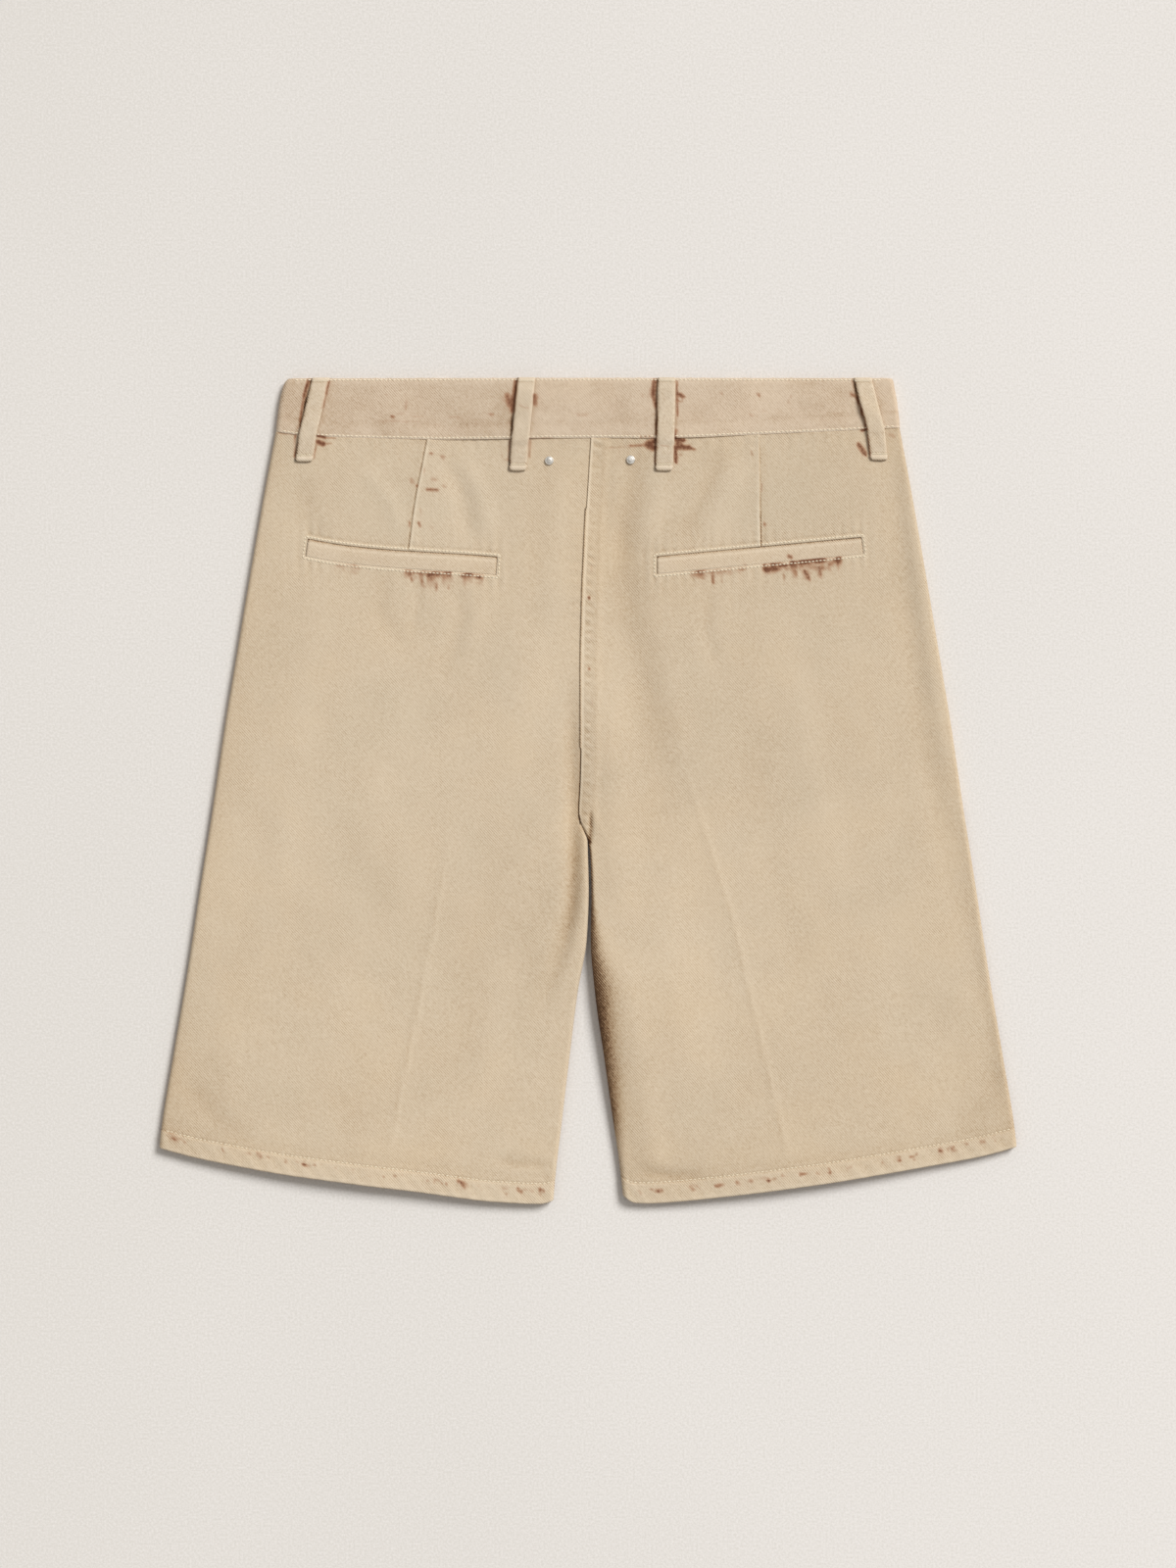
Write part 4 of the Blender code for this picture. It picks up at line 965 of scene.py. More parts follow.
def back_rows(leg):
    """v of the grid's rows, close together at the waist seam, welt and hem."""
    middle = plan_point(leg, np.full(V_TABLE.shape, 0.5), V_TABLE)[1]
    depth = middle[0] - middle
    stops = [float(np.interp(v, V_TABLE, depth)) for v in LINES]
    places = graded_through(stops, [*stops[:-1], stops[-1] - 6.0])
    rows = np.interp(places, depth, V_TABLE)
    for v in LINES:
        rows[np.argmin(np.abs(rows - v))] = v
    return rows


def opening_distance(leg, u, y, length, top_y, foot_y):
    """Distance to the pocket opening, 0 inside it, and how far past its ends."""
    start, end, _ = WELTS[leg]
    across = np.maximum(np.maximum(start - u, u - end), 0.0) * length
    up = np.maximum(np.maximum(y - top_y, foot_y - y), 0.0)
    return np.hypot(across, up), across


def back_relief(leg, u, x, y, s):
    """Relief in millimetres that is too fine for the solid, and rust, and tone with painted light and
    shade in it.
    """
    tone = np.zeros(x.shape)
    from_side = u * s["length"]
    from_inner = (1.0 - u) * s["length"]
    open_cloth = smooth_step(from_side / 8.0) * smooth_step(from_inner / 8.0)

    relief = 0.16 * soft_noise(x, 0.4 * y, 30.0, 3) + 0.07 * soft_noise(x, 0.6 * y, 12.0, 4)
    # The folds' and the zones' tone is painted light and shade.
    folds, shade = drape(x, y)
    relief = (relief + folds) * open_cloth
    zone, warm = zone_fields(x, y)
    tone += shade + zone

    # Pressed crease: a ridge, with a painted highlight on its side towards +X and painted shade on
    # its side towards -X.
    distance, along = to_line(CREASES[leg], x, y)
    ends = smooth_step(along / 60.0)
    relief += CREASE_HEIGHT * np.exp(-np.abs(distance) / CREASE_WIDTH) * ends
    tone += (0.10 * bump_at(distance + 2.0, 1.8) - 0.16 * bump_at(distance - 0.6, 1.1)) * ends

    # Waist seam: the cloth turns up into it and puckers; painted shade darkens it just below the
    # waistband.
    down = line_y(leg, u, 0.0) - y
    relief += 0.30 * np.exp(-down / 8.0) * ripple(x, 8.5, 11) * smooth_step(down / 2.0)
    tone -= 0.12 * bump_at(down, 0.8)
    tone -= 0.06 * np.exp(-down / 10.0)

    # Centre-back seam, down to the crotch. On the right panel a painted highlight along its raised
    # edge and painted light and shade that follow the puckers; on the left panel a painted shade line
    # in the raised panel's shadow.
    sewn = 1.0 - s["roll"]
    if leg == "right":
        slant = y + 0.35 * from_inner + 1.2 * soft_noise(x, y, 5.0, 24)
        pucker = ripple(slant, 6.5, 21) * bump_at(from_inner - 4.2, 3.4)
        pucker *= smooth_step((from_inner - 0.6) / 2.0)
        relief += 0.50 * pucker * sewn
        tone += 0.65 * bump_at(from_inner - 1.0, 0.8) * sewn
        tone -= 0.24 * bump_at(from_inner - 10.0, 1.1) * sewn * (0.6 + 0.4 * ripple(y, 3.2, 8))
        tone += (0.42 * pucker - 0.05) * sewn
    else:
        relief -= 0.14 * bump_at(from_inner, 0.8) * sewn
        tone -= (0.2 + 0.75 * smooth_step((230.0 - y) / 100.0)) * bump_at(from_inner, 0.7) * sewn
        relief += 0.18 * ripple(y, 9.0, 22) * bump_at(from_inner - 5.0, 5.0) * sewn

    # Darts: the side towards the centre lies over the other; painted shade lines the foot of its step
    # and a painted highlight runs along its raised side.
    distance, along = to_line(DARTS[leg], x, y)
    total = line_length(DARTS[leg])
    inside = smooth_step((total - along) / 2.0)
    near = np.abs(distance) < 30.0
    # Going down, the line's right is towards -X.
    inward = -distance if leg == "left" else distance
    step = smooth_step(inward + 0.5) * np.exp(-np.maximum(inward, 0.0) / 7.0)
    relief += DART_STEP * step * inside * near
    relief -= 0.12 * bump_at(inward + 0.6, 0.6) * inside
    dotted = 0.85 + 0.25 * ripple(along, STITCH_PITCH, 32)
    lower = smooth_step((225.0 - y) / 45.0) if leg == "right" else 0.35
    tone -= (0.5 + 0.9 * lower) * bump_at(inward + 0.4, 0.55) * inside * dotted
    tone += (0.24 + 0.4 * lower) * bump_at(inward - 1.3, 0.9) * inside
    tone -= 0.10 * bump_at(inward + 3.0, 2.4) * inside
    relief += 0.22 * ripple(along, 7.0, 31) * bump_at(inward - 3.0, 3.5) * inside

    # Pocket opening: a folded lip, its stitching, and small puckers round it. The tone paints light
    # on the lip and the puckers' crests, shade in their hollows and in the groove above the opening,
    # and light along its foot against the rims' painted shade.
    top_y = line_y(leg, u, WELT_TOP)
    foot_y = line_y(leg, u, WELT_FOOT)
    away, past = opening_distance(leg, u, y, s["length"], top_y, foot_y)
    level = smooth_step(1.0 - past / 1.5)
    above_it = level * (y > top_y)
    relief += (0.15 + 0.25 * above_it) * bump_at(away - 0.9, 1.2) * (0.4 + 0.6 * level)
    relief -= 0.20 * bump_at(away - WELT_STITCH - 1.4, 0.9) * above_it
    pucker = ripple(x, 7.0, 41) * np.exp(-away / 8.0) * smooth_step((away - 2.0) / 2.0)
    relief += 0.42 * pucker
    tone += 0.22 * bump_at(away - 1.0, 1.2) * level + 0.20 * pucker
    tone -= 0.16 * bump_at(away - 3.6, 1.2) * above_it
    tone += 0.45 * bump_at(away, 0.5) * level * (y < foot_y)

    # Hem: a turned-up band with its stitch line and roping; painted light and shade follow the
    # roping, and painted shade lies in the trough above the band.
    rise = y - line_y(leg, u, HEM)
    above_line = y - line_y(leg, u, HEM_BAND)
    in_band = smooth_step((-above_line - 1.0) / 4.0)
    relief -= 0.34 * bump_at(above_line, 0.8)
    relief += 0.30 * smooth_step((0.5 - above_line) / 2.5)
    relief -= 0.35 * bump_at(above_line - 4.5, 4.0) * (0.6 + 0.4 * streaks(x, 60.0, 52))
    roping = ripple(x + 0.8 * rise, 12.0, 51)
    relief += 0.16 * roping * in_band
    relief += 0.06 * ripple(x, STITCH_PITCH * 2.0, 53) * bump_at(above_line, 2.5)
    tone += 0.07 * smooth_step((0.5 - above_line) / 2.0)
    tone -= 0.26 * bump_at(above_line, 0.9)
    tone += 0.26 * bump_at(rise, 1.6) + 0.10 * roping * in_band
    tone -= 0.10 * bump_at(above_line - 3.5, 3.5)

    # Short slit beside the seam, where the legs part, darkened with painted shade.
    if leg == "right":
        distance, along = to_line(((2.0, -12.0), (2.2, -26.0), (1.4, -37.0)), x, y)
        slit = bump_at(distance, 1.1) * smooth_step(along / 10.0)
        relief -= 1.3 * slit
        tone -= 1.2 * slit

    # Tone: painted shade along the outer rounded edges and, much deeper, down the right leg's rolled
    # inner side, and blotches from the dye.
    tone -= 0.20 * np.exp(-from_side / 6.0)
    if leg == "right":
        highest = bump_at(y + 140.0, 45.0)
        dark = 1.05 + 0.25 * highest - 0.75 * smooth_step((-228.0 - y) / 34.0)
        tone -= dark * bump_at(from_inner, (0.8 + 0.1 * highest) * s["reach"]) * s["roll"]
    tone += 0.05 * soft_noise(x, y, 70.0, 61) + 0.04 * soft_noise(x, 0.5 * y, 20.0, 62)

    ribs = 1.0 + 0.3 * smooth_step(ALLOWANCE_WIDTH + 0.5 - from_inner) * sewn * (leg == "right")
    ribs = ribs + 0.5 * smooth_step((0.5 - above_line) / 2.0)
    rust = back_rust(leg, x, y, foot_y - y, rise)
    return relief, {"tone": tone, "rust": rust, "ribs": ribs, "warm": warm}


def back_rust(leg, x, y, below, rise):
    """Depth of the rust, also below the welt and above the hem's edge."""
    rust = stain_field(x, y)

    # Under the welt a spotted line, with a halo and drips.
    uneven = streaks(x, 3.6, 73)
    patches = soft_noise(x, y, 3.4, 79)
    core = (0.8 + 0.8 * uneven) * bump_at(below - 0.7 - 0.4 * streaks(x, 5.0, 74), 0.9)
    core *= 1.15 + 0.5 * patches
    dots = (0.75 + 0.5 * ripple(x, 2.6, 72)) * bump_at(below - 2.6, 1.5)
    halo = bump_at(below - 3.2 - 1.6 * streaks(x, 7.0, 77), 4.4)
    halo *= 0.65 + 0.4 * uneven + 0.5 * patches
    drips = 1.5 * smooth_step(1.6 * streaks(x, 3.2, 71)) * smooth_step((below - 1.0) / 1.5)
    for side, x0, x1, depth in WELT_STAINS:
        if side == leg:
            span = depth * smooth_step((x - x0) / 5.0) * smooth_step((x1 - x) / 5.0)
            run = np.exp(-np.maximum(below, 0.0) / (2.5 + 4.5 * depth))
            for part in (core, dots, halo, drips * run):
                rust = np.maximum(rust, span * part)

    # In the hem ragged spots, and thin streaks along its middle.
    spots = 0.8 + 0.5 * soft_noise(x, rise, 1.6, 78)
    ragged = x + 0.9 * soft_noise(x, rise, 2.4, 75)
    for side, cx, cy, across, up, depth in HEM_STAINS:
        if side == leg:
            bent = ragged + 0.25 * (rise - cy)
            spot = bump_at(np.hypot((bent - cx) / across, (rise - cy) / up), HEM_SPREAD)
            rust = np.maximum(rust, min(1.2 * depth, 0.9) * spot * spots)
    streak = smooth_step(2.6 * soft_noise(x + 0.5 * rise, 0.35 * rise, 3.0, 76) - 0.95)
    rust = np.maximum(rust, 0.62 * streak * bump_at(rise - 8.4, 2.4))
    return rust


def make_back(leg, material):
    vs = back_rows(leg)
    s = {name: value[:, None] for name, value in section(leg, vs).items()}
    us, shares = back_columns(leg, {name: value[:, 0] for name, value in s.items()})
    v = np.broadcast_to(vs[:, None], us.shape)
    x, y = plan_point(leg, us, v)
    seam = np.where(us < 0.5, s["rim"], s["inner"]) / 2.0 + GAP / 2.0
    height = back_height(leg, us, v)
    z = seam + (height - seam) * shares
    relief, fields = back_relief(leg, us, x, y, s)
    relief *= smooth_step(shares)
    wall = CLOTH + (HEM_WALL - CLOTH) * smooth_step((v - HEM_BAND + 0.1) / 0.12)
    start, end, _ = WELTS[leg]
    j = [int(np.argmin(np.abs(vs - value))) for value in (WELT_TOP, WELT_FOOT)]
    i = [int(np.argmin(np.abs(us[j[0]] - value))) for value in (start, end)]
    outer = np.stack([x, y, z], axis=2)
    add_cloth("back_" + leg, outer, relief, wall, leg == "left", material,
              (0.16, 0.9, 0.16, 0.16), fields, (j, i))


def make_welt(leg, material):
    """The welt fills the pocket opening, a little lower than its lips."""
    start, end, _ = WELTS[leg]
    length = float(section(leg, WELT_MIDDLE)["length"])
    margin = 0.1 / length
    us = np.linspace(start + margin, end - margin, 90)
    u, down = np.meshgrid(us, np.linspace(0.008, 0.992, 17))
    x, y = plan_point(leg, u, WELT_TOP + down)
    above, below = (back_height(leg, u, 0.0 * u + v) for v in (WELT_TOP, WELT_FOOT))
    z = above + (below - above) * down
    relief = 0.10 * soft_noise(x, y, 16.0, 81) + 0.18 * np.sin(math.pi * down)
    relief -= 0.12 * bump_at(down, 0.10)
    ends = np.minimum(u - us[0], us[-1] - u) * length
    relief -= 0.10 * bump_at(ends, 0.9)
    # Tone: painted shade along the top, under the lip, and at the ends; painted light just below the
    # top edge and along the foot.
    tone = 0.08 + 0.06 * soft_noise(x, y, 18.0, 82)
    tone = tone - 0.95 * bump_at(down, 0.06) - 0.5 * bump_at(ends, 0.6)
    tone = tone + 0.30 * bump_at(down - 0.2, 0.06) + 0.45 * bump_at(1.0 - down, 0.05)
    add_cloth("welt_" + leg, np.stack([x, y, z], axis=2), relief, WELT_WALL, leg == "left", material,
              (0.12, 0.12, 0.0, 0.0), {"tone": tone, "rust": stain_field(x, y)})


# ---------------------------------------------------------------- the front panels

def pocket_line(side_y):
    """Distance of the slanted pocket opening from the side seam's edge."""
    share = (side_y - POCKET_END_Y) / (SECTIONS[0][0] - POCKET_END_Y)
    return POCKET_FOOT + (POCKET_TOP - POCKET_FOOT) * share


def front_point(leg, distance, share, v, rise=0.0, trim=0.0, edge="rim"):
    """Outer point of the front: distance in from the side seam, along v."""
    s = section(leg, v)
    x = s["side_x"] - SIDE[leg] * distance
    u = distance / abs(s["inner_x"] - s["side_x"])
    near = min(float(u), 1.0)
    y = s["side_y"] + (s["inner_y"] - s["side_y"]) * u - bow(leg, near, v)
    if v > CROTCH:
        y += FRONT_HEM_SHORT * math.sin(math.pi * near) * smooth_step(v - CROTCH)
    seam = s[edge] / 2.0 - GAP / 2.0 - trim
    lowest = front_lift(x, y) + rise
    return float(x), float(y), float(seam + (lowest - seam) * share)


def edge_place(k, radius, roll):
    """Distance in from the edge and height share of column k at an edge."""
    if k == 0:
        return 0.0, 1.0 - roll
    angle = math.pi / 2.0 * (k - 1) / (ROLL_COLUMNS - 1)
    level = radius * (k - 1) / (ROLL_COLUMNS - 1)
    distance = roll * radius * (1.0 - math.cos(angle)) + (1.0 - roll) * level
    return distance, 1.0 - roll * (1.0 - edge_share(angle))


def front_rows(leg, notch, notch_end):
    """v of the front's rows: what the shape needs, and evenly in between."""
    needed = [0.02, SEAM_END, SEAM_END + 0.5, CROTCH, CROTCH + 0.4, notch, notch_end]
    needed += [HEM_BAND - HEM_STEP, HEM_BAND, HEM]
    needed += [v_where(leg, "inner_y", row[0]) for row in FLY[1:6]]
    needed = sorted(float(v) for v in needed)
    vs = [needed[0]]
    for low, high in zip(needed, needed[1:]):
        ends = [float(section(leg, v)["inner_y"]) for v in (low, high)]
        count = max(1, round((ends[0] - ends[1]) / FRONT_ROWS))
        vs += [low + (high - low) * (i + 1) / count for i in range(count)]
    return vs


def front_relief(x, y, v, edge):
    """Sewn lines of the front, as grooves, and its tone, with painted shade at the waist seam under
    the waistband and along the rounded edges.
    """
    relief = -0.10 - 0.08 * soft_noise(x, y, 40.0, 91)
    tone = 0.12 * soft_noise(x, y, 60.0, 92) + 0.08 * soft_noise(x, y, 25.0, 93)
    tone -= 0.5 * bump_at(v, 0.06)
    band = np.abs(v - HEM_BAND)
    relief = relief - 0.3 * bump_at(band, 0.05)
    tone -= 0.3 * bump_at(band, 0.07)
    legs = smooth_step(v - CROTCH)
    tone -= (0.5 + 0.5 * legs) * bump_at(edge, 1.5 + 1.5 * legs)
    return relief, tone


def make_front(leg, material):
    """Front panel, with its rounded seam edges, pocket slant and fly edge."""
    notch = v_where(leg, "side_y", POCKET_END_Y)
    notch_end = v_where(leg, "side_y", POCKET_END_Y - NOTCH)
    vs = front_rows(leg, notch, notch_end)
    ys = [-value for value in column(FLY, 0)]
    edge = column(FLY, 1 if leg == "left" else 2)
    rows = []
    for v in vs:
        s = section(leg, v)
        inner_x = float(s["inner_x"])
        lap = 0.0
        if v <= CROTCH:
            inner_x = float(np.interp(-s["inner_y"], ys, edge))
            if leg == "right":
                lap = float(np.interp(-s["inner_y"], ys, column(FLY, 3)))
        length = abs(inner_x - float(s["side_x"]))
        radius = edge_radius(float(s["rim"]))
        open_pocket = v <= notch
        start = float(pocket_line(s["side_y"])) if open_pocket else 0.0
        side_trim = EDGE_TRIM if v == notch_end else 0.0
        inner_trim = EDGE_TRIM if abs(v - CROTCH) < 0.6 else 0.0
        row = []

        def add(near_edge, distance, share, *options):
            row.append((*front_point(leg, distance, share, v, *options), near_edge))

        for k in range(ROLL_COLUMNS + 1):
            distance, share = edge_place(k, radius, 0.0 if open_pocket else 1.0)
            add(distance, start + distance, 1.0 if open_pocket else share, 0.0, side_trim)
        lap_u = 1.0 - (abs(inner_x) + FLY_EDGE_X + 1.0) / length if lap else 0.84
        ramp_u = lap_u - LAP_RAMP / length if lap else 0.8
        first = start + radius
        for i in range(FRONT_COLUMNS):
            distance = first + (ramp_u * length - first) * (i + 1) / FRONT_COLUMNS
            add(distance - start, distance, 1.0)
        rise = lap * (CLOTH + GAP)
        radius = edge_radius(float(s["inner"]))
        flat_end = 1.0 - (radius + 0.8) / length
        for place in np.linspace(lap_u, flat_end, 8):
            add((1.0 - place) * length, place * length, 1.0, rise)
        for k in reversed(range(ROLL_COLUMNS + 1)):
            distance, share = edge_place(k, radius, float(s["roll"]))
            add(distance, length - distance, share, rise, inner_trim, "inner")
        rows.append(row)
    rows = np.array(rows)
    outer = rows[:, :, :3]
    v = np.array(vs)[:, None] + 0.0 * outer[:, :, 0]
    relief, tone = front_relief(outer[:, :, 0], outer[:, :, 1], v, rows[:, :, 3])
    relief[:, :ROLL_COLUMNS + 1] = 0.0
    relief[:, -ROLL_COLUMNS - 1:] = 0.0
    wall = CLOTH + (HEM_WALL - CLOTH) * smooth_step((v - HEM_BAND + HEM_STEP) / HEM_STEP)
    add_cloth("front_" + leg, outer, relief, wall, leg == "right", material,
              (0.1, 0.8, 0.1, 0.1), {"tone": tone})


def make_facing(leg, material):
    """Cloth behind the slanted pocket opening, seamed in at the side."""
    notch = v_where(leg, "side_y", POCKET_END_Y + GAP + 0.2)
    rows = []
    for j in range(42):
        v = notch * j / 41.0
        s = section(leg, v)
        radius = edge_radius(float(s["rim"]))
        row = []
        for k in range(ROLL_COLUMNS + 1):
            distance, share = edge_place(k, radius, 1.0)
            row.append(front_point(leg, distance, share, v, CLOTH + GAP))
        last = float(pocket_line(s["side_y"])) + FACING_UNDERLAP
        for i in range(12):
            distance = radius + (last - radius) * (i + 1) / 12.0
            row.append(front_point(leg, distance, 1.0, v, CLOTH + GAP))
        rows.append(row)
    outer = np.array(rows)
    tone = 0.1 * soft_noise(outer[:, :, 0], outer[:, :, 1], 30.0, 95) - 0.1
    add_cloth("pocket_facing_" + leg, outer, 0.0 * tone, CLOTH, leg == "right", material,
              (0.1, 0.1, 0.1, 0.1), {"tone": tone})


# ---------------------------------------------------------------- waistband and loops

def band_ring(y):
    """Outer points of the waistband at one height, right round the waist."""
    ys = [-value for value in column(BAND_SIDES, 0)]
    left, right = (float(monotone(ys, column(BAND_SIDES, i), -y)) for i in (1, 2))
    radius = float(band_height(right)) / 2.0
    half_turn = [math.radians(angle) for angle in np.linspace(-90.0, 90.0, 15)]
    shares = np.linspace(0.0, 1.0, BAND_COLUMNS)
    lap_end = BAND_LAP_END + 1.5
    lap_start = lap_end + LAP_RAMP

    def below(x):
        return x, y, front_lift(x, WAIST_Y)

    def turned_up(edge, way, a):
        return edge + way * radius * (1.0 - math.cos(a)), y, radius + radius * math.sin(a)

    row = [below(BAND_LAP_END + (radius - left - BAND_LAP_END) * share) for share in shares[:-1]]
    row += [turned_up(-left, 1.0, a) for a in half_turn]
    row += [(x, y, band_height(x)) for x in np.linspace(radius - left, right - radius, 230)[1:-1]]
    row += [turned_up(right, -1.0, a) for a in reversed(half_turn)]
    row += [below(right - radius + (lap_start - right + radius) * share) for share in shares[1:]]
    over = FRONT_LIFT + BAND_WALL + GAP
    row += [(x, y, over) for x in np.linspace(lap_end, BAND_UNDERLAP_END, 16)]
    return np.array(row, dtype=float)


def make_waistband(material):
    depths = np.concatenate([[0.012, 0.03, 0.05], np.linspace(0.08, 0.92, 22), [0.95, 0.975, 1.0]])
    rows = []
    for share in depths:
        flat_y = WAIST_Y - share * (WAIST_Y - WAIST_SEAM_Y)
        ring = band_ring(flat_y)
        foot = waist_seam_y(ring[:, 0]) + GAP / 2.0
        ring[:, 1] = WAIST_Y + (foot - WAIST_Y) * share
        rows.append(ring)
    outer = np.array(rows)
    x, y, z = (outer[:, :, i] for i in range(3))
    from_top = WAIST_Y - y
    from_foot = y - y[-1]
    upper = z > BAND_SPLIT
    flat = np.where(upper, 1.0, 0.25)
    relief = 0.16 * soft_noise(x, y, 26.0, 101) + 0.06 * soft_noise(x, y, 9.0, 102)
    stitched = 0.24 * bump_at(from_top - BAND_STITCH, 0.8)
    relief -= stitched + 0.20 * bump_at(from_foot - BAND_STITCH, 0.7)
    relief += 0.12 * smooth_step((STRIP - from_foot) / 2.4)
    relief += 0.10 * ripple(x + 0.7 * y, 8.0, 103) * np.exp(-from_foot / 7.0)
    relief += 0.08 * ripple(x - 0.5 * y, 7.0, 104) * np.exp(-from_top / 6.0)
    relief = relief * flat - np.where(upper, 0.0, 0.1)
    middle_z = band_height(x[:, UPPER_COLUMN:UPPER_COLUMN + 1]) / 2.0
    relief -= 0.5 * bump_at(from_top, 0.9) * np.clip(np.abs(z / middle_z - 1.0), 0.0, 1.0) ** 2
    tone = 0.14 * soft_noise(x, y, 45.0, 105) + 0.14 * soft_noise(x, 1.6 * y, 14.0, 106) - 0.06
    tone += 0.08 * smooth_step((STRIP - from_foot) / 3.0) + 0.12 * smooth_step((6.0 - from_top) / 3.0)
    tone -= 0.14 * bump_at(from_foot - STRIP - 1.4, 2.0) * (0.5 + 0.9 * streaks(x, 16.0, 107))
    tone -= 0.10 * bump_at(from_top - BAND_STITCH, 0.9)
    # Painted highlights along the top edge and along the raised foot.
    tone += 0.16 * bump_at(from_top, 1.0) + 0.75 * bump_at(from_foot, 0.9)
    # Painted shadow beside each loop, deepest and uneven along its left side.
    for _, top_x, seam_x, _, _ in BACK_LOOPS:
        centre = top_x + (seam_x - top_x) * from_top / (WAIST_Y - WAIST_SEAM_Y)
        beside = np.abs(x - centre) - LOOP_WIDTH / 2.0
        shade = 0.22 * bump_at(beside - 0.3, 1.6)
        shade += 1.2 * bump_at(beside, 0.8) * (x < centre) * (0.75 + 0.6 * soft_noise(x, y, 4.0, 108))
        tone -= np.where(upper, shade, 0.0)
    streak = smooth_step(2.4 * soft_noise(x, 7.0 * y, 13.0, 109) - 0.9)
    streak *= bump_at(from_foot - 14.0, 7.0)
    rust = np.where(upper, np.maximum(stain_field(x, y), 0.34 * streak), 0.0)
    add_cloth("waistband", outer, relief, BAND_WALL, True, material,
              (0.4, 0.16, 0.3, 0.3), {"tone": tone, "rust": rust})


def make_back_loop(number, name, x_top, x_seam, x_foot, y_foot, material):
    """A belt loop over the waistband, folded under and tacked at both ends."""
    under = ["cloth_waistband", "cloth_back_left", "cloth_back_right"]
    seam = float(waist_seam_y(x_seam))
    ys = np.linspace(WAIST_Y - 0.4, y_foot, 76)
    across = np.linspace(-0.5, 0.5, 13)
    centre = np.interp(ys, (y_foot, seam, WAIST_Y), (x_foot, x_seam, x_top))
    foot = smooth_step((LOOP_FOLD - (ys - y_foot)) / LOOP_FOLD)[:, None]
    x = centre[:, None] + across * (LOOP_WIDTH - 0.5) * (1.0 - 0.06 * foot)
    y = ys[:, None] + (2.0 * across) ** 4 * foot
    base = np.array([[height_at(under, place, min(level, WAIST_Y - 1.0)) for place in row]
                     for row, level in zip(x, ys)])
    highest = base.copy()
    for shift in range(1, 5):
        highest[shift:] = np.maximum(highest[shift:], base[:-shift])
        highest[:-shift] = np.maximum(highest[:-shift], base[shift:])
    smooth = highest
    for _ in range(6):
        smooth[1:-1] = (smooth[:-2] + 2.0 * smooth[1:-1] + smooth[2:]) / 4.0
    smooth = (smooth + smooth.mean(axis=1, keepdims=True)) / 2.0
    from_top = ys[0] - y
    from_foot = y - y_foot
    arch = smooth_step((from_top - 4.0) / 6.0) * smooth_step((from_foot - 6.0) / 7.0)
    buckle = 0.0
    if name == "side_right":
        buckle = np.sin(math.pi * smooth_step((from_top - 6.0) / 30.0)) * (0.5 - across) * 1.6
    z = smooth + 0.15 + 0.4 * LOOP_ARCH * arch + buckle + LOOP_WALL
    relief = -0.45 * np.abs(2.0 * across) ** 8 + 0.0 * y
    relief += 0.12 * soft_noise(x, y, 7.0, 110 + number)
    relief += 0.10 * soft_noise(x, 0.6 * y, 4.0, 120 + number)
    relief -= 0.42 * bump_at(from_foot - LOOP_TACK, 0.8) + 0.35 * bump_at(from_top - 2.6, 0.7)
    relief += 0.25 * bump_at(from_foot - 2.0, 1.6)
    relief -= 0.7 * bump_at(from_top, 1.0) + 0.5 * bump_at(from_foot, 0.6)
    tone = 0.10 * soft_noise(x, y, 8.0, 130 + number)
    tone += 0.30 * bump_at(from_foot - 2.2, 2.0) + 0.12 * bump_at(from_top - 1.2, 1.2)
    tone -= 0.40 * bump_at(from_foot - 4.8, 0.8) + 0.35 * bump_at(from_top - 3.0, 0.7)
    # Painted shade along the rounded foot and, unevenly, down the left edge.
    tone -= 0.40 * bump_at(from_foot, 0.8)
    from_left = (across + 0.5) * LOOP_WIDTH
    tone -= bump_at(from_left, 0.8) * (0.75 + 0.7 * soft_noise(x, y, 4.0, 150 + number))
    add_cloth("belt_loop_" + name, np.stack([x, y, z], axis=2), relief, LOOP_WALL, True, material,
              (0.3, 0.45, 0.25, 0.25),
              {"tone": tone, "rust": 0.8 * stain_field(x, y)})


def make_front_loop(name, centre, y_foot, material):
    """A belt loop of the front, flat between the waistband and the surface."""
    ys = np.linspace(WAIST_Y - 0.3, y_foot, 44)
    across = np.linspace(-0.5, 0.5, 11)
    x, y = np.meshgrid(centre + across * LOOP_WIDTH, ys)
    foot_tack = bump_at(y - y_foot - LOOP_TACK, 0.8)
    relief = -0.35 * np.abs(2.0 * across) ** 8 + 0.0 * y
    relief -= 0.3 * foot_tack + 0.3 * bump_at(ys[0] - y - 2.6, 0.7)
    tone = 0.2 + 0.2 * soft_noise(x, y, 8.0, 140) - 0.4 * foot_tack
    add_cloth("belt_loop_" + name, np.stack([x, y, 0.0 * x], axis=2), relief, FRONT_LIFT - GAP, False,
              material, (0.2, 0.3, 0.2, 0.2), {"tone": tone})


# ---------------------------------------------------------------- hard pieces

def tube_faces(first, rings, sides):
    """Faces of a closed tube, whose rings of points follow each other from first."""
    faces = []
    for low in range(first, first + (rings - 1) * sides, sides):
        for k in range(sides):
            following = (k + 1) % sides
            faces.append((low + k, low + sides + k, low + sides + following, low + following))
    faces.append(tuple(first + k for k in range(sides)))
    last = first + (rings - 1) * sides
    faces.append(tuple(last + k for k in reversed(range(sides))))
    return faces


def smooth_mesh(name, points, faces):
    mesh = bpy.data.meshes.new(name)
    mesh.from_pydata(points, [], faces)
    mesh.shade_smooth()
    return mesh


def turned(name, profile, segments, place):
    """A solid turned round an upright axis from (radius, height) points, top to bottom."""
    points = []
    for radius, height in profile:
        for i in range(segments):
            a = 2.0 * math.pi * i / segments
            points.append((radius * math.cos(a) * MM, radius * math.sin(a) * MM, height * MM))
    mesh = smooth_mesh(name, points, tube_faces(0, len(profile), segments))
    mesh.set_sharp_from_angle(angle=math.radians(50.0))
    for vertex in mesh.vertices:
        vertex.co += Vector([value * MM for value in place])
    return mesh


